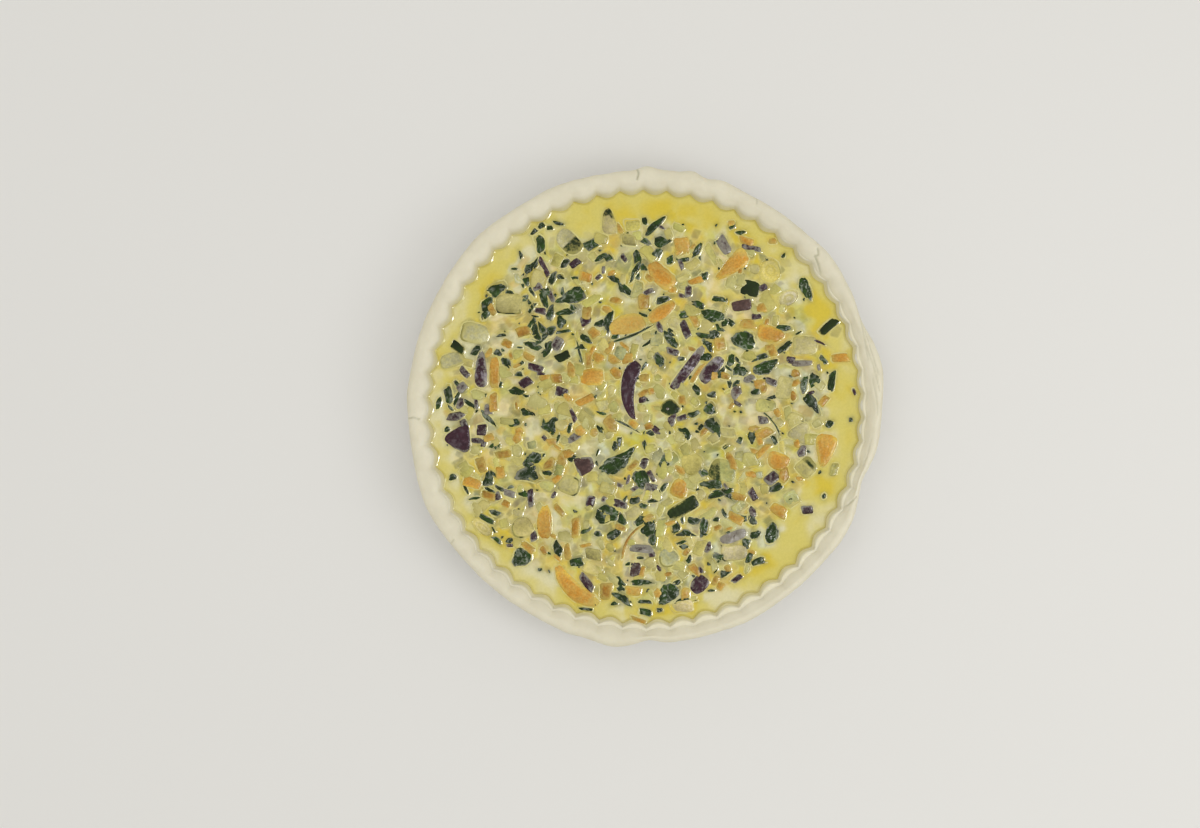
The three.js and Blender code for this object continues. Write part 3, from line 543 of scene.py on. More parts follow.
def fleck_cuts(draw):
    """Seeded flecks of leaf over the crowded part of the filling, fewer towards its edge."""
    x, y = jittered(draw, FLECK_SPACING, FLECK_REACH)
    kept = np.hypot(x, y) < crowd_edge(np.arctan2(y, x)) + 2 - 16 * draw.uniform(0, 1, x.size) ** 3
    length, turn = draw.uniform(1.3, 3.0, x.size), draw.uniform(0, 180, x.size)
    return [
        Cut("leaf", x[i], y[i], length[i], 0.6 * length[i], turn[i], lift=0.95, corners=3, filler=True)
        for i in np.flatnonzero(kept)
    ]


def sunk_cuts(draw):
    """Seeded cuts that lie under the surface, over the crowded part of the filling."""
    x, y = jittered(draw, SUNK_SPACING, SUNK_REACH)
    kinds = draw.choice(list(CROWD), x.size, p=[row[0] for row in CROWD.values()])
    length, aspect = draw.uniform(4, 11, x.size), draw.uniform(0.35, 0.9, x.size)
    turn, lift = draw.uniform(0, 180, x.size), draw.uniform(0.1, 0.5, x.size)
    kept = np.hypot(x, y) < crowd_edge(np.arctan2(y, x)) - 8 * draw.uniform(0, 1, x.size)
    kept &= draw.uniform(0, 1, x.size) > OPEN_SHARE * openness(x, y)
    return [
        Cut(str(kinds[i]), x[i], y[i], length[i], length[i] * aspect[i], turn[i], lift=lift[i],
            corners=corners_of(str(kinds[i]), i))
        for i in np.flatnonzero(kept)
    ]


# ---- Patterns and curves ----------------------------------------------------------------------


def lattice(i, j, seed):
    """A repeatable number from 0 to 1 for each whole-numbered point, by mixing its bits."""
    n = i.astype(np.int64) * 73856093 ^ j.astype(np.int64) * 19349663 ^ int(seed) * 83492791
    n = ((n ^ (n >> 13)) * 1274126177) & 0xFFFFFFFF
    return ((n ^ (n >> 16)) & 0xFFFF) / 65535.0


def cloud(x, y, size, seed=0, octaves=2):
    """Value noise from 0 to 1: smoothstep between lattice numbers, halved in size each octave."""
    total, weight = np.zeros(np.broadcast(x, y).shape), 0.0
    for octave in range(octaves):
        u, v = np.asarray(x) * 2**octave / size, np.asarray(y) * 2**octave / size
        i, j = np.floor(u), np.floor(v)
        a, b = smooth(u - i), smooth(v - j)
        s = seed + 17 * octave
        low = lattice(i, j, s) * (1 - a) + lattice(i + 1, j, s) * a
        high = lattice(i, j + 1, s) * (1 - a) + lattice(i + 1, j + 1, s) * a
        total = total + (low * (1 - b) + high * b) / 2**octave
        weight += 1 / 2**octave
    return total / weight


def smooth(share):
    """The smoothstep 3t^2 - 2t^3 of a share held between 0 and 1."""
    t = np.clip(share, 0, 1)
    return t * t * (3 - 2 * t)


def ramp(value, low, high):
    """A smooth climb from 0 at low to 1 at high."""
    return smooth((value - low) / (high - low))


def turned_from(degrees, at):
    """How far round each angle lies from another one, from -180 to 180 degrees."""
    return (degrees - at + 180) % 360 - 180


def bell(distance, width):
    """The bell curve exp(-(distance / width)^2)."""
    return np.exp(-((distance / width) ** 2))


def spot(x, y, at_x, at_y, wide, high):
    """A bell curve over the surface, wider along x or y: exp(-(dx / wide)^2 - (dy / high)^2)."""
    return np.exp(-(((x - at_x) / wide) ** 2) - ((y - at_y) / high) ** 2)


def blend(a, b, share):
    """Colours a and b mixed by a share given for each point."""
    return a + (b - a) * np.asarray(share)[..., None]


def flute_offset(angle):
    """Half the flute depth outwards at a cusp, half inwards at a crest: a rectified sine wave."""
    wave = np.sqrt(np.sin(FLUTES * (angle - FLUTE_START) / 2) ** 2 + CUSP_ROUNDING)
    return FLUTE_DEPTH * (0.5 - np.minimum(wave, 1))


def wall_offset(angle):
    """The flutes as the dough shows them: the same wave, shallower round one side by a bell curve."""
    at, spread, by = SHALLOW_FLUTES
    return flute_offset(angle) * (1 - by * bell(turned_from(np.degrees(angle), at), spread))


def edge_offset(angle):
    """The sum of the hand-trimmed edge's bulges, each a bell curve round its angle."""
    degrees = np.degrees(angle)
    total = np.zeros_like(degrees)
    for at, spread, by in EDGE_WAVES:
        total = total + by * bell(turned_from(degrees, at), spread)
    return total


def top_offset(angle):
    """The rim's slow rise and fall: two sine waves."""
    return sum(by * np.sin(count * angle + phase) for count, by, phase in TOP_WAVES)


def dish_radius(height):
    """The inside radius of the dish's straight sloping wall."""
    share = (height - DISH_FLOOR) / (DISH_HEIGHT - DISH_FLOOR)
    return DISH_BOTTOM_RADIUS + (DISH_RIM_RADIUS - DISH_BOTTOM_RADIUS) * share


def pastry_radius(height):
    """The inside radius of the pastry's wall, parallel to the dish's."""
    return PASTRY_WALL_RADIUS + dish_radius(height) - dish_radius(LEVEL)


def gauge(cut, u, v):
    """How far out a point lies, 1 on the outline, and its slope along u and v.

    It is the p-norm of the distances towards each of the cut's sides: with four even sides this is
    the superellipse |u|^p + |v|^p = 1, and with uneven ones a polygon with soft corners, none of which
    lies further out than FURTHEST_OUT."""
    turn, out, sharp = cut.sides
    cos, sin = np.cos(turn) / out, np.sin(turn) / out
    towards = np.maximum(u[..., None] * cos + v[..., None] * sin, 0)
    around = np.hypot(u, v) + 1e-9
    far = around / FURTHEST_OUT if cut.corners else np.zeros_like(around)
    rho = ((towards**sharp).sum(-1) + far**sharp) ** (1 / sharp) + 1e-6
    pull = (towards / rho[..., None]) ** (sharp - 1)
    inwards = (far / rho) ** (sharp - 1) * far / around**2
    return rho, (pull * cos).sum(-1) + inwards * u, (pull * sin).sum(-1) + inwards * v


def outline(cut, share, angle, grow=0.0):
    """The gauge's curve rho = 1, narrowed by the cut's taper, curved by its bend, turned and placed."""
    n = 2.0 if cut.corners else cut.sides[2]
    cos, sin = np.cos(angle), np.sin(angle)
    size = 1 / gauge(cut, cos, sin)[0]
    along, across = size * cos, size * sin
    own = np.arctan2(np.sign(sin) * np.abs(across) ** (n / 2), np.sign(cos) * np.abs(along) ** (n / 2))
    uneven = 1 + UNEVENNESS[cut.kind] * np.sin(3 * own + cut.x + cut.y)
    x = share * uneven * along * (cut.length / 2 + grow)
    y = share * uneven * across * (cut.width / 2 * (1 - cut.taper * along) + grow)
    if cut.bend:
        radius = cut.length / math.radians(cut.bend)
        x, y = (radius - y) * np.sin(x / radius), radius - (radius - y) * np.cos(x / radius)
    cos, sin = math.cos(math.radians(cut.turn)), math.sin(math.radians(cut.turn))
    return cut.x + x * cos - y * sin, cut.y + x * sin + y * cos


def reach(cut, x, y):
    """How far outside a cut's outline each point is, less than 0 inside, with the cut's own u and v.

    The point is turned and unbent into u, v, where the gauge rho gives the distance as rho - 1 over
    rho's slope."""
    cos, sin = math.cos(math.radians(cut.turn)), math.sin(math.radians(cut.turn))
    px = (x - cut.x) * cos + (y - cut.y) * sin
    py = (y - cut.y) * cos - (x - cut.x) * sin
    if cut.bend:
        side = math.copysign(1, cut.bend)
        radius = cut.length / math.radians(abs(cut.bend))
        away = np.hypot(px, radius - side * py)
        px, py = radius * np.arctan2(px, radius - side * py), side * (radius - away)
    u = px / (cut.length / 2)
    half_width = cut.width / 2 * (1 - cut.taper * np.clip(u, -1, 1))
    v = py / half_width
    rho, along, across = gauge(cut, u, v)
    slope = np.hypot(along / (cut.length / 2), across / half_width) + 1e-9
    return (rho - 1) / slope, u, v


# ---- Meshes -----------------------------------------------------------------------------------


def shell(rings, top=None, bottom=None, wrap=False):
    """Quads between rings of points, each ring closed, fans to a top and a bottom point.

    Rings run outwards and down from the top and turn anticlockwise seen from above. With wrap the
    last ring joins the first one, which makes a closed tube."""
    count, around = rings.shape[:2]
    points = [rings.reshape(-1, 3)]
    index = np.arange(count * around).reshape(count, around)
    inner, outer = (index, np.roll(index, -1, 0)) if wrap else (index[:-1], index[1:])
    quads = np.stack([inner, outer, np.roll(outer, -1, 1), np.roll(inner, -1, 1)], -1).reshape(-1, 4)
    fans = []
    for pole, ring, flip in ((top, index[0], False), (bottom, index[-1], True)):
        if pole is not None:
            centre = np.full(around, sum(len(p) for p in points))
            points.append(np.reshape(pole, (1, 3)))
            sides = (np.roll(ring, -1), ring) if flip else (ring, np.roll(ring, -1))
            fans.append(np.stack([centre, *sides], -1))
    triangles = np.concatenate(fans) if fans else np.zeros((0, 3), int)
    return np.concatenate(points), quads, triangles


def joined(shells):
    """Several shells as one, their corner numbers moved on."""
    points, quads, triangles, start = [], [], [], 0
    for p, q, t in shells:
        points.append(p)
        quads.append(q + start)
        triangles.append(t + start)
        start += len(p)
    return np.concatenate(points), np.concatenate(quads), np.concatenate(triangles)


def make_piece(name, shape, material, nodes=(), tone=None, film=None):
    """Puts a shape (millimetres) into a mesh object that rides on the root body."""
    points, quads, triangles = shape
    mesh = bpy.data.meshes.new(name)
    mesh.vertices.add(len(points))
    mesh.vertices.foreach_set("co", (points * MM).astype(np.float32).ravel())
    corners = np.concatenate([quads.ravel(), triangles.ravel()])
    starts = np.concatenate(
        [np.arange(len(quads)) * 4, len(quads) * 4 + np.arange(len(triangles)) * 3]
    )
    mesh.loops.add(len(corners))
    mesh.loops.foreach_set("vertex_index", corners.astype(np.int32))
    mesh.polygons.add(len(starts))
    mesh.polygons.foreach_set("loop_start", starts.astype(np.int32))
    mesh.update(calc_edges=True)
    if mesh.validate():
        raise RuntimeError(f"{name} has broken faces")
    mesh.shade_smooth()
    if tone is not None:
        colours = np.ones((len(points), 4), np.float32)
        colours[:, :3] = np.clip(tone, 0, 1)
        mesh.attributes.new("tone", "FLOAT_COLOR", "POINT").data.foreach_set("color", colours.ravel())
    if film is not None:
        values = np.clip(film, 0, 1).astype(np.float32)
        mesh.attributes.new("film", "FLOAT", "POINT").data.foreach_set("value", values)
    piece = bpy.data.objects.new(name, mesh)
    bpy.context.scene.collection.objects.link(piece)
    mesh.materials.append(material)
    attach(piece, "root")
    if nodes:
        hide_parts(*nodes)
    return piece


# ---- The filling's surface --------------------------------------------------------------------


def yolk_share(x, y):
    """How yolky the custard is: a slow slope, the pools' bell curves and noise."""
    share = 0.31 + 0.13 * (0.7 * y + 0.4 * x) / 130
    for px, py, sx, sy, strength in YOLK_POOLS:
        share = share + strength * spot(x, y, px, py, sx, sy)
    bent = x + 9 * cloud(x, y, 30, 5), y + 9 * cloud(x, y, 24, 8)
    crowded = ramp(inside_crowd(x, y), -4, 8)
    share = share + 0.9 * (cloud(*bent, 17, 3, 3) - 0.5) + crowded * (2.2 * cloud(*bent, 9, 6, 2) - 1.45)
    return np.clip(share, 0, 1)


def wall_distance(x, y):
    """How far inside the pastry's fluted wall each point of the surface lies."""
    angle = np.arctan2(y, x)
    return pastry_radius(LEVEL) + wall_offset(angle) - np.hypot(x, y)


def near_cuts(cuts, x, y, margin):
    """Each cut that has points near it, with their numbers and how far outside its outline they are."""
    for cut in cuts:
        near = np.flatnonzero(np.hypot(x - cut.x, y - cut.y) < cut.length / 2 + margin)
        if len(near):
            yield cut, near, reach(cut, x[near], y[near])[0]


def crowded_colours(x, y, tone, settings):
    """The custard's colour, with painted shade in patches and more varied among the crowded cuts, and
    stained by carrot.
    """
    crowded = ramp(inside_crowd(x, y), 0, 10)
    # painted shade: darker patches of custard among the crowded cuts, standing in for the shade between
    # them
    crowd_shade = crowded * ramp(cloud(x + 3 * cloud(x, y, 5, 61), y, 4.6, 62, 3), 0.50, 0.72)
    tone = blend(tone, np.array(settings.crowd_shade), 0.35 * crowd_shade)
    hue = crowded * (cloud(x, y, 11, 65, 2) - 0.5)
    tone = tone * np.stack([1 + 0.30 * hue, 1 - 0.06 * hue, 1 - 0.5 * hue], -1)
    for at_x, at_y, wide, high, strength in CARROT_STAINS:
        share = strength * spot(x, y, at_x, at_y, wide, high)
        tone = blend(tone, np.array(settings.sunk_carrot), share * (0.5 + cloud(x, y, 5, 67)))
    return tone


def over_sunk_cuts(x, y, tone, sunk, settings):
    """A low flat relief over each sunk cut, and the custard's colour tinted there, with a painted highlight
    line along its edge.
    """
    relief = np.zeros_like(x)
    for cut, near, away in near_cuts(sunk, x, y, 3):
        edge = 0.35 + 1.1 * (0.5 - cut.lift)
        inside = 1 - ramp(away, -edge, edge)
        patchy = 0.55 + 0.75 * cloud(x[near], y[near], 3.2, cut.seed)
        share = np.clip(inside * patchy * (0.15 + 1.0 * cut.lift), 0, 0.85)
        shade = 0.62 + 0.5 * cut.chance(9, 3)
        tint = np.array(getattr(settings, "sunk_" + cut.kind)) * shade
        tone[near] = blend(tone[near], tint, share)
        # painted highlight: a pale line just outside the sunk cut's edge
        line = bell(away - 0.5, 0.5) * (0.2 + 0.6 * cut.lift)
        tone[near] = blend(tone[near], np.array(settings.film), 0.5 * line)
        relief[near] += 0.30 * cut.lift * inside
    return relief, tone


def filling_surface(x, y, cuts, sunk, settings):
    """Height and colour of the custard at each x, y.

    The height is the level, a slow swell, a rise exp(-d / width) at the wall and round each cut at
    the distance d, and the relief of the sunk cuts. The colour runs from cream to yolk, yolkier round
    each cut and tinted there, partly by the cut seen through the thin custard and partly as painted
    shade, with a painted highlight rim round each cut and a painted shade line along the wall."""
    rise, width = settings.meniscus_height / MM, settings.meniscus_width / MM
    swell = 0.16 * (cloud(x, y, 34, 1) - 0.5) + 0.10 * (cloud(x, y, 9, 2) - 0.5)
    rises = (1.3 * rise * np.exp(-np.maximum(wall_distance(x, y), 0) / (1.2 * width))) ** RISE_POWER
    yolk = yolk_share(x, y)
    rim, fringe = np.zeros((2, len(x)))
    fringe_tone = np.zeros((len(x), 3))
    for cut, near, away in near_cuts(cuts, x, y, 8):
        own = 0.4 + 0.6 * cut.lift
        rises[near] += (rise * own * np.exp(-np.where(away > 0, away / width, -away / 0.5))) ** RISE_POWER
        away = np.maximum(away, 0)
        yolk[near] += 0.50 * own * np.exp(-away / 2.2) * ramp(cloud(x[near], y[near], 10, 41), 0.35, 0.65)
        rim[near] = np.maximum(rim[near], bell(away - 0.9, 0.45))
        # the cut's tint spread round it: partly the cut seen through the thin custard, partly painted shade
        # round it
        under = np.exp(-away / 1.1) * (0.15 + 1.0 * cloud(x[near], y[near], 6, cut.seed + 8))
        more = under > fringe[near]
        fringe[near] = np.where(more, under, fringe[near])
        tint = np.array(getattr(settings, "sunk_" + cut.kind))
        fringe_tone[near] = np.where(more[:, None], tint, fringe_tone[near])
    tone = crowded_colours(x, y, custard_colours(yolk, settings), settings)
    relief, tone = over_sunk_cuts(x, y, tone, sunk, settings)
    # painted highlight: a pale rim just outside each cut, standing in for light caught by the meniscus
    tone = blend(tone, np.array(settings.film), 0.10 * rim)
    tone = blend(tone, fringe_tone, 0.55 * np.clip(fringe, 0, 1))
    # painted shade: a darker line in the custard along the dough's wall
    line = ramp(wall_distance(x, y), 1.5, 0.2) * (0.15 + 0.6 * cloud(x, y, 14, 71))
    tone = blend(tone, np.array(settings.wall_shade_line), line)
    z = LEVEL + swell + rises ** (1 / RISE_POWER) + np.minimum(relief, HIGHEST_RELIEF)
    return z, tone


def custard_colours(yolk, settings):
    """Cream where there is no yolk, pale yellow at a half share and deep yellow at a full one."""
    cream, pale, deep = (np.array(c) for c in (settings.cream, settings.yellow, settings.yolk))
    return blend(blend(cream, pale, ramp(yolk, 0.0, 0.5)), deep, ramp(yolk, 0.55, 1.0))


def disc_points(count):
    """A square grid bent onto the unit disc, each square ring becoming a circle."""
    a, b = np.meshgrid(np.linspace(-1, 1, count + 1), np.linspace(-1, 1, count + 1), indexing="ij")
    wide = np.abs(a) > np.abs(b)
    radius = np.where(wide, a, b)
    safe = np.where(radius == 0, 1, radius)
    turn = np.where(wide, math.pi / 4 * b / safe, math.pi / 2 - math.pi / 4 * a / safe)
    return radius * np.cos(turn), radius * np.sin(turn)


def rim_order(count):
    """The numbers of a square grid's outer points, anticlockwise."""
    index = np.arange((count + 1) ** 2).reshape(count + 1, count + 1)
    return np.concatenate([index[-1, :-1], index[:0:-1, -1], index[0, :0:-1], index[:-1, 0]])


def custard_body(count, cuts, sunk, settings):
    """A closed body: the filling's surface over a disc with a fluted edge, a wall down and a floor."""
    x, y = (a.ravel() for a in disc_points(count))
    share, angle = np.hypot(x, y), np.arctan2(y, x)
    edge = pastry_radius(LEVEL) + GAP
    radius = share * edge + wall_offset(angle) * ramp(share, CUSTARD_FLUTES_FROM, 1.0)
    x, y = radius * np.cos(angle), radius * np.sin(angle)
    z, tone = filling_surface(x, y, cuts, sunk, settings)
    top = np.stack([x, y, z], -1)
    index = np.arange((count + 1) ** 2).reshape(count + 1, count + 1)
    quads = np.stack([index[:-1, :-1], index[1:, :-1], index[1:, 1:], index[:-1, 1:]], -1).reshape(-1, 4)
    rim = rim_order(count)
    lower = top[rim] * [1, 1, 0] + [0, 0, LEVEL - CUSTARD_LIP]
    foot_scale = (pastry_radius(CUSTARD_FLOOR) - GAP) / edge
    foot = lower * [foot_scale, foot_scale, 0] + [0, 0, CUSTARD_FLOOR]
    start = len(top)
    ring_a, ring_b = np.arange(len(rim)) + start, np.arange(len(rim)) + start + len(rim)
    walls = [
        np.stack([p, q, np.roll(q, -1), np.roll(p, -1)], -1) for p, q in ((rim, ring_a), (ring_a, ring_b))
    ]
    centre = np.full(len(rim), start + 2 * len(rim))
    floor = np.stack([centre, np.roll(ring_b, -1), ring_b], -1)
    points = np.concatenate([top, lower, foot, [[0, 0, CUSTARD_FLOOR]]])
    extra = np.tile(tone[rim], (2, 1))
    return (points, np.concatenate([quads, *walls]), floor), np.concatenate([tone, extra, tone[:1]])


# ---- Vegetables -------------------------------------------------------------------------------


def cut_relief(cut, u, v, x, y):
    """The low unevenness of a cut's top, in mm: fibres on carrot, veins on leaf, ridges on onion."""
    if cut.kind == "carrot":
        return 0.10 * np.sin(9 * v + 4 * cloud(x, y, 4, cut.seed)) + 0.25 * (cloud(x, y, 5, cut.seed) - 0.5)
    if cut.kind == "leaf":
        veins = np.abs(np.sin(5.5 * v + 2.6 * u + 3 * cloud(x, y, 5, cut.seed)))
        return 0.22 * (0.6 - veins) + 0.9 * (cloud(x, y, 3.6, cut.seed + 3) - 0.5)
    if cut.kind == "onion":
        return 0.12 * np.sin(11 * np.hypot(u, v))
    if cut.kind == "aubergine":
        return 0.45 * (cloud(x, y, 3.4, cut.seed) - 0.5)
    return 0.26 * (cloud(x, y, 4, cut.seed) - 0.5)


def cut_colours(cut, u, v, x, y, share, settings):
    """Colour and film at points of a cut: its kind's pattern, its skin, custard lying on it, and painted
    light: glints on aubergine skin and leaf folds, a darker edge on courgette, and one side lighter than
    the other.
    """
    fine, broad = cloud(x, y, 1.3, cut.seed + 1), cloud(x, y, 4.2, cut.seed + 2)
    colour = {name: np.array(getattr(settings, name)) for name in COLOURS}
    if cut.kind == "carrot":
        fibres = 0.5 + 0.5 * np.sin(16 * v + 5 * cloud(x, y, 6, cut.seed))
        tone = blend(colour["carrot"], colour["carrot_pale"], 0.7 * broad + 0.25 * fibres**3 * fine)
        stained = ramp(cloud(x, y, 5, cut.seed + 9), 0.3, 0.7)
        tone = blend(tone, colour["carrot_edge"], 0.75 * ramp(share, 0.55, 1.0) * stained)
        film = 0.34 + 0.10 * share
    elif cut.kind == "aubergine":
        tone = blend(colour["aubergine"], colour["aubergine"] * 2.2, fine * broad)
        flesh = colour["aubergine_flesh"] * (0.5 + 0.9 * fine[..., None])
        tone = blend(tone, flesh, cut.looks.get("flesh", 0.15))
        # painted highlight: pale glints in patches on the wet skin
        glints = ramp(cloud(x + 2 * broad, y, 2.2, cut.seed + 5, 3), 0.50, 0.72)
        glints = glints * ramp(cloud(x, y, 5, cut.seed + 6), 0.35, 0.65)
        tone = blend(tone, colour["aubergine_glint"], cut.looks.get("glints", 0.14) * glints)
        film = 0.30 + 0.10 * share
    elif cut.kind == "courgette":
        tone = blend(colour["courgette"], colour["courgette_pale"], broad)
        # painted shade: the flesh darker towards the outline, as if lit through the middle
        tone = blend(tone, colour["courgette"] * 0.6, 0.35 * ramp(share, 0.8, 1.0))
        skin = colour["courgette_skin"] * (0.7 + 0.9 * fine[..., None])
        direction = np.degrees(np.arctan2(y - cut.y, x - cut.x))
        tone = blend(tone, skin, skin_share(cut, share, direction))
        film = np.full_like(share, 0.56 if cut.filler else 0.40)
    elif cut.kind == "leaf":
        veins = ramp(np.abs(np.sin(5.5 * v + 2.6 * u + 3 * cloud(x, y, 5, cut.seed))), 0.22, 0.0)
        tone = blend(colour["leaf"], colour["leaf_green"], 0.5 * ramp(broad, 0.45, 0.8))
        # painted highlight: glints along random folds, in the veins' pale colour; the veins themselves are
        # real
        fold_glints = ramp(np.abs(cloud(x, y, 4.2, cut.seed + 6) - 0.5), 0.07, 0.0)
        tone = blend(tone, colour["leaf_vein_and_glint"], np.clip(0.5 * veins * fine + 1.3 * fold_glints * fine, 0, 0.85))
        film = 0.12 + 0.10 * share
    else:
        rings = 0.5 + 0.5 * np.sin(12 * np.hypot(u, v))
        tone = blend(colour["onion"], colour["onion_pale"], rings * broad)
        film = np.full_like(share, 0.54 if cut.filler else 0.38)
    pale = cut.kind in ("courgette", "onion")
    # painted light: one side of each cut painted lighter and the other darker, towards the tip where its
    # top tilts up
    lit = (0.30 if pale else 0.18) * (u * math.cos(cut.tip) + v * math.sin(cut.tip))
    if pale:
        tone = tone * [0.88 + 0.22 * cut.chance(8, 6), 1, 0.55 + 0.9 * cut.chance(7, 6)]
    shade = cut.chance(3, 5)
    tone = tone * ((0.93 + 0.2 * shade if cut.node else 0.66 + 0.42 * shade) + lit)[..., None]
    film = film + 0.30 * (1 - cut.lift) + (cut.looks.get("film", USUAL_FILM) - USUAL_FILM)
    lapped = 0.35 if cut.kind == "leaf" else 0.5
    film = film + lapped * ramp(cloud(x, y, 7, cut.seed + 4), 0.45, 0.7) * ramp(share, 0.55, 1.0)
    return tone, film


def skin_share(cut, share, direction):
    """Where green skin shows on a courgette: all of it, one side, or an arc along the outline."""
    looks = cut.looks
    if looks.get("skin"):
        return np.ones_like(share)
    if "side" in looks:
        towards, start = looks["side"]
        away = np.radians(direction - towards)
        return ramp(share * np.cos(away), start - 0.05, start + 0.05)
    if "arc" in looks:
        towards, half = looks["arc"]
        away = np.abs(turned_from(direction, towards))
        return ramp(share, 0.80, 0.86) * ramp(away, half + 8, half - 8)
    return np.zeros_like(share)


def jagged(cut, angle, share=1.0):
    """How far out an uneven outline runs at each angle: 1 and noise that is read round a circle."""
    bumps = cloud(3 * np.cos(angle), 3 * np.sin(angle), 0.9, cut.seed) - 0.5
    return 1 + JAGGEDNESS[cut.kind] * 2 * bumps * share


def cut_shell(cut, rings, around, settings):
    """A cut as rings from its middle out over its rounded edge and down, or a thin wavy leaf.

    The top climbs from its edge to its crown as (1 - s^p)^(1/2) over the share s of the way out, and
    it is tilted and uneven."""
    turn = np.linspace(0, TURN, around, endpoint=False)
    out = np.sin(np.linspace(0.12, 1, rings) * math.pi / 2)
    thin = cut.kind == "leaf" and bool(cut.node)
    if thin:
        rows = np.concatenate([out, [1.0], out[::-1]])
        level = np.concatenate([(1 - out**6) ** 0.5, [0.0], -((1 - out[::-1] ** 6) ** 0.5)])
    else:
        rows = np.concatenate([out, [1.0, 0.97, 0.86]])
        level = np.zeros(len(rows))
    s, angle = np.meshgrid(rows, turn, indexing="ij")
    x, y = outline(cut, s * jagged(cut, angle, s), angle)
    _, u, v = reach(cut, x, y)
    crown = CROWN[cut.kind] * (0.8 if cut.node else 0.35 + 0.4 * cut.lift)
    relief = cut_relief(cut, u, v, x, y) * (1 - s**4)
    tilt = (0.30 if cut.node else 0.11 * cut.width) * s * np.cos(angle - cut.tip)
    if thin:
        wave = LEAF_WAVE * np.sin(TURN * (x + 0.6 * y) / LEAF_WAVELENGTH)
        middle = LEVEL + CROWN["leaf"] - LEAF_WAVE - LEAF_THICKNESS / 2
        z = middle + wave + level[:, None] * LEAF_THICKNESS / 2 + relief * 0.8 + 0.6 * tilt
    else:
        power = FLATNESS[cut.kind]
        foot = -CHUNK_DEPTH if cut.node else -SMALL_DEPTH
        dome = np.sqrt(np.clip(1 - out**power, 0, 1))
        heights = np.concatenate([CUT_EDGE + (crown - CUT_EDGE) * dome, [-0.2, 0.5 * foot, foot]])
        on_top = (np.arange(len(rows)) < rings)[:, None]
        z = LEVEL + heights[:, None] + np.where(on_top, relief + tilt, 0.0)
    top_z, bottom_z = z[0].mean(), z[-1].mean()
    centre_x, centre_y = outline(cut, 0.0, np.zeros(1))
    tops = np.array([centre_x[0], centre_y[0], top_z])
    bottoms = np.array([centre_x[0], centre_y[0], bottom_z])
    shape = shell(np.stack([x, y, z], -1), tops, bottoms)
    points = shape[0]
    _, u, v = reach(cut, points[:, 0], points[:, 1])
    share = np.concatenate([s.ravel(), [0.0, 0.0]])
    tone, film = cut_colours(cut, u, v, points[:, 0], points[:, 1], share, settings)
    return shape, tone, film


def sides_around(cut, step):
    """An even number of steps round a cut, about one for each step of its outline."""
    about = math.pi * (cut.length + cut.width) / 2
    return 2 * max(4, int(round(about / step / 2)))


def lay_cuts(kind, material, cuts, settings):
    """Makes each larger cut of a kind a piece of its own, and the small ones one piece together."""
    small = []
    for cut in cuts:
        if cut.kind != kind:
            continue
        if cut.node:
            shape, tone, film = cut_shell(cut, LARGE_RINGS, sides_around(cut, LARGE_STEP), settings)
            piece = make_piece(f"{cut.node}_cut", shape, material, [cut.node], tone, film)
            check_place(piece, cut)
        elif cut.lift >= SHOWING:
            rings = FILLER_RINGS if cut.filler else SMALL_RINGS
            small.append(cut_shell(cut, rings, sides_around(cut, SMALL_STEP), settings))
    shapes, tones, films = zip(*small)
    tone, film = np.concatenate(tones), np.concatenate(films)
    make_piece(f"small_{kind}", joined(shapes), material, ["custard"], tone, film)


def check_place(piece, cut):
    """Stops the script if a piece's middle is further than MISPLACED from that of its node."""
    low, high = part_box(cut.node)
    points = np.empty(len(piece.data.vertices) * 3, np.float32)
    piece.data.vertices.foreach_get("co", points)
    points = points.reshape(-1, 3)
    middle = (points.min(0) + points.max(0)) / 2
    off = np.hypot(*(middle[:2] - [(low[i] + high[i]) / 2 for i in (0, 1)]))
    if off > MISPLACED * MM:
        raise RuntimeError(f"{piece.name} lies {off / MM:.1f} mm away from {cut.node}")


# ---- Menisci ----------------------------------------------------------------------------------

# A meniscus' cross-section: how far out from the cut in meniscus widths, and mm above the custard.
MENISCUS = np.array([
    (1.25, -0.12), (0.95, 0.0), (0.55, 0.10), (0.22, 0.26), (-0.05, 0.46), (-0.35, 0.34), (0.1, -0.8),
])


def climb(strength):
    """The cross-section's heights, those above the custard times the strength at each place."""
    height = MENISCUS[:, 1:]
    return np.where(height > 0, height * strength[None], height)


def meniscus_ring(cut, settings):
    """The custard drawn up round a cut: its cross-section carried along the outline."""
    around = sides_around(cut, FILLER_MENISCUS_STEP if cut.filler else MENISCUS_STEP)
    angle = np.linspace(0, TURN, around, endpoint=False)
    base = np.stack(outline(cut, jagged(cut, angle), angle), -1)
    ahead, behind = np.roll(base, -1, 0), np.roll(base, 1, 0)
    along = ahead - behind
    along /= np.linalg.norm(along, axis=1)[:, None] + 1e-9
    out = np.stack([along[:, 1], -along[:, 0]], -1)
    strength = 0.35 + 0.8 * cloud(2 * np.cos(angle), 2 * np.sin(angle), 0.8, cut.seed + 5)
    width = settings.meniscus_width / MM
    xy = base[None] + out[None] * (MENISCUS[:, :1, None] * width)
    return xy, climb(strength * (0.3 + 0.7 * cut.lift))


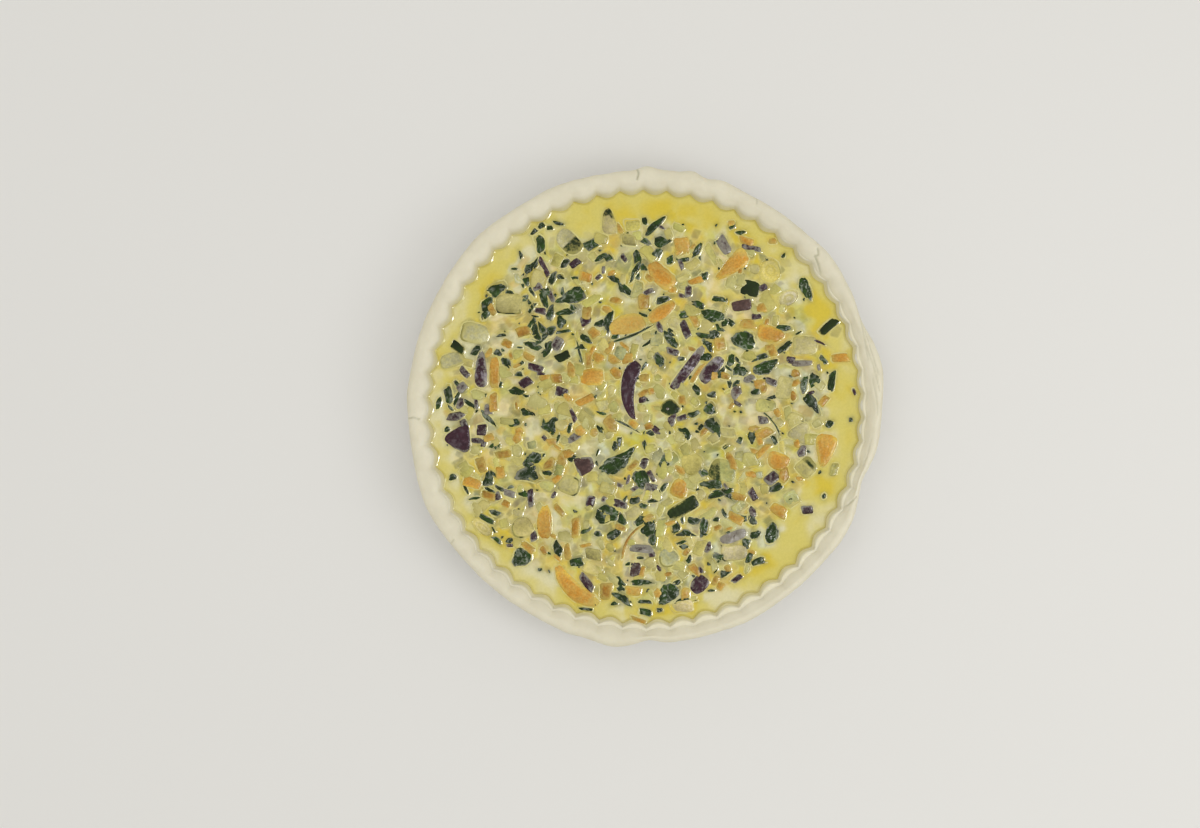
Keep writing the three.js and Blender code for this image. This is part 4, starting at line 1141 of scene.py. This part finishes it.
def menisci(cuts, sunk, settings):
    """A closed tube round each shown cut longer than DRY_LENGTH, and one inside the pastry's wall, painted
    paler in patches as a painted highlight.
    """
    tubes = [meniscus_ring(cut, settings) for cut in cuts if cut.length > DRY_LENGTH]
    tubes.append(wall_ring(settings))
    x, y = (np.concatenate([xy[..., k].ravel() for xy, _ in tubes]) for k in (0, 1))
    rise = np.concatenate([r.ravel() for _, r in tubes])
    z, tone = filling_surface(x, y, cuts, sunk, settings)
    points, number = np.stack([x, y, z + rise], -1), np.arange(len(x))
    shapes, order, start = [], [], 0
    for xy, _ in tubes:
        rings, around = xy.shape[:2]
        part = slice(start, start + rings * around)
        shapes.append(shell(points[part].reshape(rings, around, 3)[::-1], wrap=True))
        order.append(number[part].reshape(rings, around)[::-1].ravel())
        last, start = start, part.stop
    order = np.concatenate(order)
    # painted highlight: the tubes round the cuts in patches, and the wall's meniscus on the left-hand side
    shown = 0.15 + 0.6 * ramp(cloud(x, y, 6, 77)[order], 0.45, 0.65)
    wet = ramp(rise, 0.10, 0.22) * ramp(-x, 30, 100) * ramp(cloud(x, y, 12, 78), 0.2, 0.5)
    pale = np.where(order < last, shown, 0.8 * wet[order])
    return joined(shapes), blend(tone[order], np.array(settings.film), pale)


def wall_ring(settings):
    """The custard drawn up along the fluted wall."""
    angle = np.linspace(0, TURN, FLUTES * 16, endpoint=False)
    width = 1.1 * settings.meniscus_width / MM
    radius = pastry_radius(LEVEL) + wall_offset(angle)[None] + 0.1 - MENISCUS[:, :1] * width
    xy = np.stack([radius * np.cos(angle), radius * np.sin(angle)], -1)
    strength = 0.1 + 0.9 * cloud(20 * np.cos(angle), 20 * np.sin(angle), 1.5, 4)
    return xy[::-1], climb(strength * (0.55 - 0.4 * np.cos(angle)))[::-1]


# ---- Pastry and dish --------------------------------------------------------------------------

# Cracks and creases in the rim: (angle, radius) points, then depth and half width.
CRACKS = [
    ([(91.9, 150), (91.6, 146), (92.0, 142.5)], 1.1, 0.5),
    ([(97.3, 137.5), (96.9, 135)], 1.0, 0.6),
    ([(182.8, 149), (182.6, 145), (183.1, 141.5)], 0.8, 0.5),
    ([(42.5, 146.5), (41.2, 144), (41.6, 142), (39.6, 140.5), (37.2, 138.2)], 0.9, 0.55),
    ([(337, 143.8), (334.5, 141.5), (333.5, 140), (330.2, 134.5)], 0.7, 0.5),
    ([(61.8, 149), (61.2, 145)], 0.5, 0.5),
    ([(215.2, 150), (214.8, 145.5)], 0.5, 0.5),
    ([(22.5, 146), (17, 143.5), (12, 142.6)], 0.4, 0.5),
    ([(19, 145.5), (14, 145.6), (8, 147.5)], 0.45, 0.4),
    ([(15.5, 143.6), (10, 145.2), (4, 147)], 0.4, 0.4),
    ([(7, 143.5), (2, 145), (-2, 145.6)], 0.35, 0.4),
    ([(352, 143), (348, 142.4), (345, 141.5)], 0.35, 0.4),
]
SLOPE_WAVES = [(285, 75, 3.0), (20, 30, 1.0)]  # angle, spread, how far out the shoulder leans there
# Angle, spread and depth of fine creases along the rim, and of small waves in the trimmed edge.
CREASES = (4, 22, 0.8)
FRILL = (84, 14, 0.35)
SOFT_WAVES = [(300, 38, 1.0), (5, 36, 0.85)]  # angle, spread, how soon the waves fade above the filling


def pastry_profile():
    """[radius, height, flute, edge, top, lean] rows, smoothed by cutting each corner three times."""
    over_rim = DISH_HEIGHT + GAP
    floor = DISH_FLOOR + GAP + PASTRY_FLOOR
    rows = np.array([
        [dish_radius(over_rim) - GAP, over_rim, 1, 0, 0, 0],
        [LIP_INNER_RADIUS, over_rim, 0, 0.06, 0, 0],
        [LIP_INNER_RADIUS, PASTRY_LIP + 1, 0, 0.06, 0, 0],
        [LIP_INNER_RADIUS + 1.4, PASTRY_LIP - 0.2, 0, 0.4, 0, 0],
        [PASTRY_OUTER_RADIUS - 0.6, PASTRY_LIP - 0.2, 0, 1, 0, 0],
        [PASTRY_OUTER_RADIUS + 0.1, PASTRY_LIP + 3, 0, 1, 0, 0],
        [PASTRY_OUTER_RADIUS + 0.1, PASTRY_LIP + 6.4, 0, 1, 0, 0],
        [PASTRY_OUTER_RADIUS - 2.0, PASTRY_TOP - 0.3, 0.05, 0.9, 1, 0],
        [PASTRY_OUTER_RADIUS - 5.4, PASTRY_TOP, 0.1, 0.6, 1, 0.5],
        [PASTRY_WALL_RADIUS + 5.4, PASTRY_TOP - 0.8, 0.34, 0.2, 1, 1],
        [PASTRY_WALL_RADIUS + 2.8, PASTRY_TOP - 2.6, 0.62, 0, 0.5, 1],
        [PASTRY_WALL_RADIUS + 1.3, LEVEL + 3.0, 0.85, 0, 0, 0.6],
        [PASTRY_WALL_RADIUS, LEVEL, 1, 0, 0, 0],
    ])
    for _ in range(3):
        ends = rows[:1], rows[-1:]
        cut = np.stack([0.75 * rows[:-1] + 0.25 * rows[1:], 0.25 * rows[:-1] + 0.75 * rows[1:]], 1)
        rows = np.concatenate([ends[0], cut.reshape(-1, rows.shape[1]), ends[1]])
    step = np.concatenate([[0], np.cumsum(np.hypot(*np.diff(rows[:, :2], axis=0).T))])
    even = np.linspace(0, step[-1], PASTRY_ROWS)
    rows = np.stack([np.interp(even, step, column) for column in rows.T], -1)
    under = DISH_FLOOR + GAP
    below = [[dish_radius(under) - GAP, under, 1, 0, 0, 0], [dish_radius(20) - GAP, 20, 1, 0, 0, 0]]
    within = [[pastry_radius(20), 20, 1, 0, 0, 0], [pastry_radius(floor), floor, 1, 0, 0, 0]]
    return np.concatenate([below, rows, within]), under, floor


def softness(degrees):
    """How soft the dough's waves are at each angle, from 0 to 1: the strongest of its bell curves."""
    return np.max([by * bell(turned_from(degrees, at), spread) for at, spread, by in SOFT_WAVES], 0)


def crack_field(angle, radius):
    """Depth of the cracks at each point of the rim: bell curves of the distance to broken lines."""
    x, y = radius * np.cos(angle), radius * np.sin(angle)
    depth = np.zeros_like(x)
    for line, deep, half_width in CRACKS:
        a, r = np.radians([p[0] for p in line]), np.array([p[1] for p in line])
        px, py = r * np.cos(a), r * np.sin(a)
        wander = 0.5 * (cloud(x, y, 1.6, 9) - 0.5)
        for i in range(len(line) - 1):
            dx, dy = px[i + 1] - px[i], py[i + 1] - py[i]
            along = np.clip(((x - px[i]) * dx + (y - py[i]) * dy) / (dx * dx + dy * dy), 0, 1)
            away = np.hypot(x - px[i] - along * dx, y - py[i] - along * dy) + wander
            depth = np.maximum(depth, deep * bell(away, half_width))
    return depth


def dough_colours(points, cracks, settings):
    """The dough mottled, stained by egg above the filling, painted lighter on the wall's face near the
    filling where the waves are soft, and painted darker in its cracks as shade.
    """
    x, y, z = points.T
    wall = np.hypot(x, y) - PASTRY_WALL_RADIUS
    mottle = cloud(x, y, 7, 31, 3)
    tone = blend(np.array(settings.dough), np.array(settings.dough_shade), mottle * 0.8)
    soft = softness(np.degrees(np.arctan2(y, x)))
    stain = np.exp(-np.maximum(wall - 1.0, 0) / (1.6 + 2.6 * soft)) * ramp(z, LEVEL + 7, LEVEL + 1)
    tone = blend(tone, np.array(settings.egg_stain), 0.6 * stain)
    # painted light: the dough's face just above the filling painted lighter where the waves are soft,
    # lifting the shade that falls there
    tone = tone * (1 + 0.15 * soft * ramp(wall, 6.5, 2.0))[:, None]
    # painted shade: the cracks darkened where they cut into the dough
    return blend(tone, np.array(settings.crack_shade), np.clip(0.75 * cracks, 0, 0.7))


def pastry_shape(settings):
    """The dough: its profile carried round, fluted on the wall, with an uneven edge and cracks."""
    rows, under, floor = pastry_profile()
    angle = FLUTE_START + np.linspace(0, TURN, FLUTES * STEPS_PER_FLUTE, endpoint=False)
    radius, height, flute, edge, top, lean = (column[:, None] for column in rows.T)
    flutes = np.floor((angle - FLUTE_START) / TURN * FLUTES).astype(int)
    depth = 0.8 + 0.4 * lattice(flutes, np.zeros_like(flutes), 3)
    degrees = np.degrees(angle)
    slope = sum(by * bell(turned_from(degrees, at), spread) for at, spread, by in SLOPE_WAVES)
    soft = softness(degrees)
    depth = depth - 1.0 * soft
    share = settings.flute_depth / (FLUTE_DEPTH * MM)
    at, spread, by = FRILL
    frill = by * np.cos(FLUTES * (angle - FLUTE_START)) * bell(degrees - at, spread)
    out = radius + flute * share * (1 + (1 - flute) * (depth - 1)) * wall_offset(angle)
    out = out + edge * (edge_offset(angle) + frill) + lean * slope
    x, y = out * np.cos(angle), out * np.sin(angle)
    upper = ramp(height, PASTRY_LIP + 4, PASTRY_TOP - 1)
    z = height - 4.8 * soft * flute * lean * (1 - lean) + top * top_offset(angle)
    z = z + upper * 0.7 * (cloud(x, y, 11, 21) - 0.5)
    z = z + upper * 0.25 * (cloud(x, y, 3.2, 22) - 0.5)
    at, spread, by = CREASES
    creased = by * upper * bell(turned_from(degrees, at), spread)
    z = z + creased * (cloud(out, y * 0.16, 1.9, 27) - 0.5)
    wobble = 0.5 * (cloud(40 * np.cos(angle), 40 * np.sin(angle), 1.2, 25) - 0.5) * edge
    x, y = x + wobble * np.cos(angle), y + wobble * np.sin(angle)
    cracks = crack_field(angle, out) * upper
    z = z - cracks
    shape = shell(np.stack([x, y, z], -1)[::-1], [0, 0, floor], [0, 0, under])
    marks = np.concatenate([cracks[::-1].ravel(), [0, 0]])
    return shape, dough_colours(shape[0], marks, settings)


def dish_shape():
    """The dish: a plain fluted wall with a rounded lip and a small foot, carried round the axis."""
    wall, rim, low, foot = DISH_WALL, DISH_RIM_RADIUS, DISH_BOTTOM_RADIUS, DISH_FOOT_RADIUS
    outer = [
        [low + wall - 1 + (rim - low + 1) * share, 1.6 + (DISH_HEIGHT - 3.2) * share, 1]
        for share in np.linspace(0, 1, 12)
    ]
    rows = np.array([
        [low, DISH_FLOOR, 1], [rim - 1.0, DISH_HEIGHT - 6, 1], [rim, DISH_HEIGHT - 0.8, 1],
        [rim + 0.5, DISH_HEIGHT - 0.15, 1], [rim + wall / 2, DISH_HEIGHT, 1],
        [rim + wall - 0.5, DISH_HEIGHT - 0.2, 1], [rim + wall, DISH_HEIGHT - 0.9, 1], *outer[::-1],
        [foot + 2.2, 0.5, 0.6], [foot + 0.6, 0.05, 0.2], [foot, 0, 0], [foot - 4, 0, 0],
    ])
    angle = FLUTE_START + np.linspace(0, TURN, FLUTES * 12, endpoint=False)
    radius, height, flute = (column[:, None] for column in rows.T)
    out = radius + flute * flute_offset(angle)
    rings = np.stack([out * np.cos(angle), out * np.sin(angle), np.broadcast_to(height, out.shape)], -1)
    return shell(rings, [0, 0, DISH_FLOOR], [0, 0, 0.0])


# ---- Materials --------------------------------------------------------------------------------


def add_node(tree, kind, inputs=None, **values):
    """A shader node with its own values and its sockets' values set."""
    node = tree.nodes.new(kind)
    for name, value in values.items():
        setattr(node, name, value)
    for name, value in (inputs or {}).items():
        node.inputs[name].default_value = value
    return node


def start_material(name, roughness, coat=0.0):
    """A material with its Principled shader and its Object coordinates."""
    material = bpy.data.materials.new(name)
    material.use_nodes = True
    tree = material.node_tree
    shader = tree.nodes["Principled BSDF"]
    shader.inputs["Roughness"].default_value = roughness
    shader.inputs["Coat Weight"].default_value = coat
    shader.inputs["Coat Roughness"].default_value = 0.12
    place = add_node(tree, "ShaderNodeTexCoord")
    return material, tree, shader, place.outputs["Object"]


def noise(tree, place, per_metre, detail=3.0, roughness=0.55):
    """Noise on Object coordinates, so many waves to a metre."""
    node = add_node(
        tree, "ShaderNodeTexNoise", {"Scale": per_metre, "Detail": detail, "Roughness": roughness}
    )
    tree.links.new(place, node.inputs["Vector"])
    return node.outputs["Fac"]


def mixed(tree, blend_type, share, a, b):
    """A colour mix whose share and colours are sockets or plain values."""
    node = add_node(tree, "ShaderNodeMix", data_type="RGBA", blend_type=blend_type, clamp_factor=True)
    for socket, value in ((node.inputs[0], share), (node.inputs[6], a), (node.inputs[7], b)):
        if isinstance(value, bpy.types.NodeSocket):
            tree.links.new(value, socket)
        else:
            socket.default_value = value
    return node.outputs[2]


def spread(tree, value, low, high, to_low=0.0, to_high=1.0):
    """A smooth climb of a socket's value from low to high."""
    node = add_node(
        tree,
        "ShaderNodeMapRange",
        {"From Min": low, "From Max": high, "To Min": to_low, "To Max": to_high},
        interpolation_type="SMOOTHSTEP",
    )
    tree.links.new(value, node.inputs["Value"])
    return node.outputs["Result"]


def bumped(tree, shader, height, distance, strength=1.0):
    """Fine relief from a height socket, distance in metres."""
    node = add_node(tree, "ShaderNodeBump", {"Distance": distance, "Strength": strength})
    tree.links.new(height, node.inputs["Height"])
    tree.links.new(node.outputs["Normal"], shader.inputs["Normal"])


def tone_of(tree):
    """The colour stored on the piece's points."""
    return add_node(tree, "ShaderNodeAttribute", attribute_name="tone").outputs["Color"]


def mottled(tree, share, dark, light):
    """The colour stored on the points times a grey that runs from dark to light with the share."""
    shade = mixed(tree, "MIX", share, opaque(dark), opaque(light))
    return mixed(tree, "MULTIPLY", 1.0, tone_of(tree), shade)


def let_light_in(shader, weight, radius, scale):
    """How much light goes under the surface, how far each colour goes, and the scale in metres."""
    shader.inputs["Subsurface Weight"].default_value = weight
    shader.inputs["Subsurface Radius"].default_value = radius
    shader.inputs["Subsurface Scale"].default_value = scale


def opaque(colour):
    """A colour as a shader's socket takes it, with nothing showing through."""
    return (*colour, 1.0)


def dough_material(settings):
    """Raw dough: its own colour, faint flour mottling and a soft matt grain."""
    material, tree, shader, place = start_material("raw_dough", settings.roughness)
    dust = spread(tree, noise(tree, place, 90, 5.0, 0.6), 0.35, 0.7)
    colour = mottled(tree, dust, (0.94, 0.935, 0.92), (1.0, 1.0, 1.0))
    tree.links.new(colour, shader.inputs["Base Color"])
    let_light_in(shader, 0.12, (1.0, 0.8, 0.5), 0.003)
    bumped(tree, shader, noise(tree, place, 420, 4.0), 0.25 * MM, 0.35)
    return material


def custard_material(settings):
    """Wet egg and cream: its own colour with fine flecks, and a low gloss."""
    material, tree, shader, place = start_material("egg_custard", settings.roughness, 0.25)
    flecks = spread(tree, noise(tree, place, 700, 3.0), 0.35, 0.65)
    colour = mottled(tree, flecks, (0.97, 0.97, 0.95), (1.02, 1.02, 1.03))
    tree.links.new(colour, shader.inputs["Base Color"])
    let_light_in(shader, 0.1, (1.0, 0.8, 0.3), 0.002)
    bumped(tree, shader, noise(tree, place, 260, 2.0), 0.2 * MM, 0.3)
    return material


def vegetable_material(kind, settings):
    """A wet cut vegetable: its own colour, fine mottling, and custard lying on it in patches."""
    roughness, coat, thickest, grain, depth = WETNESS[kind]
    material, tree, shader, place = start_material(f"wet_{kind}", roughness, coat)
    shader.inputs["Specular IOR Level"].default_value = 0.22
    mottle = spread(tree, noise(tree, place, 800, 4.0), 0.3, 0.7)
    flesh = mottled(tree, mottle, (0.84, 0.84, 0.84), (1.14, 1.14, 1.14))
    film = add_node(tree, "ShaderNodeAttribute", attribute_name="film").outputs["Fac"]
    patches = noise(tree, place, 420, 5.0, 0.65)
    total = add_node(tree, "ShaderNodeMath", operation="ADD")
    tree.links.new(film, total.inputs[0])
    tree.links.new(patches, total.inputs[1])
    cover = spread(tree, total.outputs[0], 0.82, 1.14, 0.0, thickest)
    film_colour = settings.thin_film if kind in ("aubergine", "leaf") else settings.custard_film
    coloured = mixed(tree, "MIX", cover, flesh, opaque(film_colour))
    tree.links.new(coloured, shader.inputs["Base Color"])
    bumped(tree, shader, noise(tree, place, grain, 3.0), depth * MM)
    return material


def glaze_material(settings):
    """White glazed stoneware with a faint warm unevenness."""
    material, tree, shader, place = start_material("white_glaze", settings.roughness, 0.4)
    drift = spread(tree, noise(tree, place, 30, 2.0), 0.3, 0.7)
    glaze = mixed(tree, "MIX", drift, opaque(settings.glaze), opaque([0.97 * c for c in settings.glaze]))
    tree.links.new(glaze, shader.inputs["Base Color"])
    bumped(tree, shader, noise(tree, place, 60, 2.0), 0.4 * MM, 0.15)
    return material


def floor_material(settings):
    """A plain pale floor."""
    material, tree, shader, place = start_material("plain_floor", 0.85)
    drift = noise(tree, place, 3, 2.0)
    pale = mixed(tree, "MIX", drift, opaque(settings.floor), opaque([0.985 * c for c in settings.floor]))
    tree.links.new(pale, shader.inputs["Base Color"])
    return material


# ---- Settings ---------------------------------------------------------------------------------


def colour_property(name, description, value):
    """A colour that the sidebar shows."""
    return FloatVectorProperty(
        name=name, description=description, subtype="COLOR", size=3, min=0, max=1, default=value
    )


def length_property(name, description, millimetres):
    """A length, kept in metres."""
    return FloatProperty(
        name=name, description=description, subtype="DISTANCE", unit="LENGTH", min=0, precision=5,
        default=millimetres * MM,
    )


def share_property(name, description, value):
    """A share from 0 to 1."""
    return FloatProperty(name=name, description=description, subtype="FACTOR", min=0, max=1, default=value)


class QuicheDishSettings(bpy.types.PropertyGroup):
    """The baking dish."""

    glaze: colour_property("Glaze", "Colour of the dish's glaze", (0.86, 0.85, 0.80))
    roughness: share_property("Roughness", "How dull the glaze is", 0.12)


class QuichePastrySettings(bpy.types.PropertyGroup):
    """The dough."""

    dough: colour_property("Dough", "Colour of the raw dough", (0.78, 0.735, 0.565))
    dough_shade: colour_property("Mottling", "Colour of its darker patches", (0.74, 0.69, 0.52))
    egg_stain: colour_property("Egg stain", "Colour where the egg wets the wall", (0.62, 0.54, 0.18))
    # painted shade: the colour deep in the cracks
    crack_shade: colour_property("Cracks", "Colour deep in the cracks", (0.42, 0.41, 0.25))
    flute_depth: length_property("Flute depth", "Depth of the waves in the wall", FLUTE_DEPTH)
    roughness: share_property("Roughness", "How dull the dough is", 0.62)


class QuicheCustardSettings(bpy.types.PropertyGroup):
    """The egg custard."""

    cream: colour_property("Cream", "Colour where cream lies on top", (0.75, 0.695, 0.40))
    yellow: colour_property("Pale yellow", "Colour between cream and yolk", (0.69, 0.595, 0.135))
    yolk: colour_property("Yolk", "Colour of the pools of yolk", (0.69, 0.535, 0.03))
    # film: the colour of the painted highlights on the menisci and on the pale rims round the cuts
    film: colour_property("Film", "Colour of the thin rim round each cut", (0.75, 0.69, 0.28))
    # painted shade: the darker patches of custard between the crowded cuts
    crowd_shade: colour_property("Murk", "Colour of the custard between crowded cuts", (0.28, 0.235, 0.07))
    # painted shade: the darker line in the custard along the dough's wall
    wall_shade_line: colour_property("Egg line", "Colour where the custard meets the dough", (0.46, 0.37, 0.06))
    sunk_carrot: colour_property("Sunk carrot", "Tint over sunk carrot", (0.62, 0.42, 0.08))
    sunk_aubergine: colour_property("Sunk aubergine", "Tint over sunk aubergine", (0.26, 0.22, 0.15))
    sunk_courgette: colour_property("Sunk courgette", "Tint over sunk courgette", (0.44, 0.39, 0.15))
    sunk_leaf: colour_property("Sunk leaf", "Tint over sunk leaf", (0.13, 0.155, 0.07))
    sunk_onion: colour_property("Sunk onion", "Tint over sunk onion", (0.60, 0.53, 0.22))
    meniscus_height: length_property("Rise", "How far the custard climbs at a cut", 0.45)
    meniscus_width: length_property("Rise width", "How wide the climb is", 0.8)
    roughness: share_property("Roughness", "How dull the custard is", 0.20)


class QuicheVegetableSettings(bpy.types.PropertyGroup):
    """The vegetables."""

    carrot: colour_property("Carrot", "Deep orange of the carrot", (0.53, 0.225, 0.015))
    carrot_pale: colour_property("Pale carrot", "Its paler parts", (0.55, 0.36, 0.08))
    carrot_edge: colour_property("Carrot edge", "Where yolk stains the carrot", (0.66, 0.47, 0.06))
    aubergine: colour_property("Aubergine", "Purple skin", (0.022, 0.004, 0.013))
    aubergine_flesh: colour_property("Aubergine flesh", "Cut side", (0.105, 0.060, 0.045))
    # painted highlight: the colour of the glints on the wet skin
    aubergine_glint: colour_property("Glints", "Where light catches the wet skin", (0.42, 0.38, 0.42))
    courgette: colour_property("Courgette", "Flesh", (0.35, 0.325, 0.10))
    courgette_pale: colour_property("Pale courgette", "Its paler parts", (0.52, 0.485, 0.21))
    courgette_skin: colour_property("Courgette skin", "Dark green skin", (0.012, 0.024, 0.002))
    leaf: colour_property("Leaf", "Dark wilted leaf", (0.013, 0.032, 0.002))
    leaf_green: colour_property("Green leaf", "Its thinner, greener parts", (0.042, 0.105, 0.008))
    # the veins' pale colour, also used for the painted glints along the leaf's folds
    leaf_vein_and_glint: colour_property("Veins", "Pale veins", (0.30, 0.33, 0.25))
    onion: colour_property("Onion", "Translucent onion", (0.53, 0.475, 0.14))
    onion_pale: colour_property("Pale onion", "Its whiter rings", (0.64, 0.60, 0.30))
    custard_film: colour_property("Custard film", "Custard lying on the cuts", (0.62, 0.55, 0.155))
    thin_film: colour_property("Thin film", "Custard's thin film over dark cuts", (0.40, 0.385, 0.30))


class QuicheStageSettings(bpy.types.PropertyGroup):
    """The floor, the lights and the camera."""

    floor: colour_property("Floor", "Colour of the floor", (0.80, 0.79, 0.76))
    sheen: FloatProperty(name="Sheen", description="Power seen in gloss alone", unit="POWER", default=24)
    key: FloatProperty(name="Key light", description="Power from the right", unit="POWER", default=4)
    fill: FloatProperty(name="Fill light", description="Power from above", unit="POWER", default=12)
    ambient: FloatProperty(name="Ambient", description="Strength of the surroundings", default=0.66)
    height: FloatProperty(
        name="Camera height", description="Camera above the rim", subtype="DISTANCE", unit="LENGTH",
        default=1.05,
    )
    width: FloatProperty(
        name="View width", description="Width seen at the rim", subtype="DISTANCE", unit="LENGTH",
        default=0.75,
    )


class QuicheSettings(bpy.types.PropertyGroup):
    """All of the quiche's settings."""

    dish: PointerProperty(type=QuicheDishSettings)
    pastry: PointerProperty(type=QuichePastrySettings)
    custard: PointerProperty(type=QuicheCustardSettings)
    vegetables: PointerProperty(type=QuicheVegetableSettings)
    stage: PointerProperty(type=QuicheStageSettings)


# ---- Operators --------------------------------------------------------------------------------


@lru_cache
def all_cuts():
    """The cuts that show and the seeded ones that are sunk, always in the same order."""
    draw = np.random.RandomState(SUNK_SEED)
    laid, fine = laid_cuts(), fine_cuts()
    every = laid + fine + crowd_cuts(draw, laid + fine) + fleck_cuts(draw)
    return (
        [cut for cut in every if cut.lift >= SHOWING],
        [cut for cut in every if cut.lift < SHOWING] + sunk_cuts(draw),
    )


class QUICHE_OT_dish(bpy.types.Operator):
    """Makes the fluted baking dish"""

    bl_idname = "quiche.dish"
    bl_label = "Dish"

    def execute(self, context):
        settings = context.scene.quiche.dish
        make_piece("fluted_dish", dish_shape(), glaze_material(settings), ["dish"])
        return {"FINISHED"}


class QUICHE_OT_pastry(bpy.types.Operator):
    """Makes the raw dough with its fluted wall and trimmed rim"""

    bl_idname = "quiche.pastry"
    bl_label = "Pastry"

    def execute(self, context):
        settings = context.scene.quiche.pastry
        shape, tone = pastry_shape(settings)
        make_piece("dough", shape, dough_material(settings), ["pastry_case"], tone)
        return {"FINISHED"}


class QUICHE_OT_custard(bpy.types.Operator):
    """Makes the custard and the menisci round the cuts"""

    bl_idname = "quiche.custard"
    bl_label = "Custard"

    def execute(self, context):
        settings = context.scene.quiche.custard
        shown, sunk = all_cuts()
        material = custard_material(settings)
        shape, tone = custard_body(CUSTARD_GRID, shown, sunk, settings)
        make_piece("egg_custard", shape, material, ["custard"], tone)
        shape, tone = menisci(shown, sunk, settings)
        make_piece("custard_edges", shape, material, ["custard"], tone)
        return {"FINISHED"}


class VegetableOperator:
    """What the five vegetable operators share."""

    kind = ""

    def execute(self, context):
        settings = context.scene.quiche.vegetables
        shown, _ = all_cuts()
        lay_cuts(self.kind, vegetable_material(self.kind, settings), shown, settings)
        return {"FINISHED"}


class QUICHE_OT_carrots(VegetableOperator, bpy.types.Operator):
    """Makes the carrot"""

    bl_idname = "quiche.carrots"
    bl_label = "Carrots"
    kind = "carrot"


class QUICHE_OT_aubergines(VegetableOperator, bpy.types.Operator):
    """Makes the aubergine"""

    bl_idname = "quiche.aubergines"
    bl_label = "Aubergines"
    kind = "aubergine"


class QUICHE_OT_courgettes(VegetableOperator, bpy.types.Operator):
    """Makes the courgette"""

    bl_idname = "quiche.courgettes"
    bl_label = "Courgettes"
    kind = "courgette"


class QUICHE_OT_leaves(VegetableOperator, bpy.types.Operator):
    """Makes the wilted leaves"""

    bl_idname = "quiche.leaves"
    bl_label = "Leaves"
    kind = "leaf"


class QUICHE_OT_onions(VegetableOperator, bpy.types.Operator):
    """Makes the onion"""

    bl_idname = "quiche.onions"
    bl_label = "Onions"
    kind = "onion"


def aimed(name, kind, place, target):
    """A light or camera object at a place, turned to look at a target."""
    thing = bpy.data.objects.new(name, kind)
    bpy.context.scene.collection.objects.link(thing)
    thing.location = place
    way = np.array(target, float) - np.array(place, float)
    thing.rotation_euler = Vector(way).to_track_quat("-Z", "Y").to_euler()
    return thing


def area_light(name, place, size, power):
    """A square softbox aimed at the quiche."""
    light = bpy.data.lights.new(name, "AREA")
    light.shape, light.size, light.energy = "SQUARE", size, power
    return aimed(name, light, place, (0, 0, LEVEL * MM))


class QUICHE_OT_stage(bpy.types.Operator):
    """Makes the floor, the lights and the camera"""

    bl_idname = "quiche.stage"
    bl_label = "Stage"

    def execute(self, context):
        settings = context.scene.quiche.stage
        half = FLOOR_HALF
        corners = [(-half, -half, 0), (half, -half, 0), (half, half, 0), (-half, half, 0)]
        mesh = bpy.data.meshes.new("floor")
        mesh.from_pydata(corners, [], [(0, 1, 2, 3)])
        floor = bpy.data.objects.new("floor", mesh)
        mesh.materials.append(floor_material(settings))
        context.scene.collection.objects.link(floor)

        area_light("key_light", KEY_PLACE, KEY_SIZE, settings.key)
        area_light("fill_light", FILL_PLACE, FILL_SIZE, settings.fill).visible_glossy = False
        area_light("sheen_light", SHEEN_PLACE, SHEEN_SIZE, settings.sheen).visible_diffuse = False
        world = bpy.data.worlds.new("soft_surroundings")
        world.use_nodes = True
        sky = world.node_tree.nodes["Background"]
        sky.inputs["Color"].default_value = SKY_COLOUR
        sky.inputs["Strength"].default_value = settings.ambient
        context.scene.world = world

        lens = bpy.data.cameras.new("camera")
        rim = PASTRY_TOP * MM
        lens.sensor_width = SENSOR_WIDTH
        lens.lens = lens.sensor_width * settings.height / settings.width
        camera = bpy.data.objects.new("camera", lens)
        context.scene.collection.objects.link(camera)
        camera.location = (CAMERA_X * MM, CAMERA_Y * MM, rim + settings.height)
        context.scene.camera = camera
        context.scene.view_settings.view_transform = "Standard"
        return {"FINISHED"}


class QUICHE_PT_panel(bpy.types.Panel):
    """The quiche's pieces and settings in the sidebar"""

    bl_idname = "QUICHE_PT_panel"
    bl_label = "Vegetable quiche"
    bl_space_type = "VIEW_3D"
    bl_region_type = "UI"
    bl_category = "Quiche"

    def draw(self, context):
        for operator in OPERATORS:
            self.layout.operator(operator.bl_idname)
        settings = context.scene.quiche
        for group in ("dish", "pastry", "custard", "vegetables", "stage"):
            box = self.layout.box()
            box.label(text=group.capitalize())
            for name in getattr(settings, group).__annotations__:
                box.prop(getattr(settings, group), name)


GROUPS = (
    QuicheDishSettings, QuichePastrySettings, QuicheCustardSettings, QuicheVegetableSettings,
    QuicheStageSettings, QuicheSettings,
)
OPERATORS = (
    QUICHE_OT_stage, QUICHE_OT_dish, QUICHE_OT_pastry, QUICHE_OT_custard, QUICHE_OT_carrots,
    QUICHE_OT_aubergines, QUICHE_OT_courgettes, QUICHE_OT_leaves, QUICHE_OT_onions,
)


def register():
    """Adds the settings, the operators and the panel."""
    for each in (*GROUPS, *OPERATORS, QUICHE_PT_panel):
        bpy.utils.register_class(each)
    bpy.types.Scene.quiche = PointerProperty(type=QuicheSettings)


def unregister():
    """Takes them away again."""
    del bpy.types.Scene.quiche
    for each in reversed((*GROUPS, *OPERATORS, QUICHE_PT_panel)):
        bpy.utils.unregister_class(each)


def main():
    """Registers the add-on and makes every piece."""
    register()
    quiche = bpy.ops.quiche
    quiche.stage()
    quiche.dish()
    quiche.pastry()
    quiche.custard()
    quiche.carrots()
    quiche.aubergines()
    quiche.courgettes()
    quiche.leaves()
    quiche.onions()


if __name__ == "__main__":
    main()
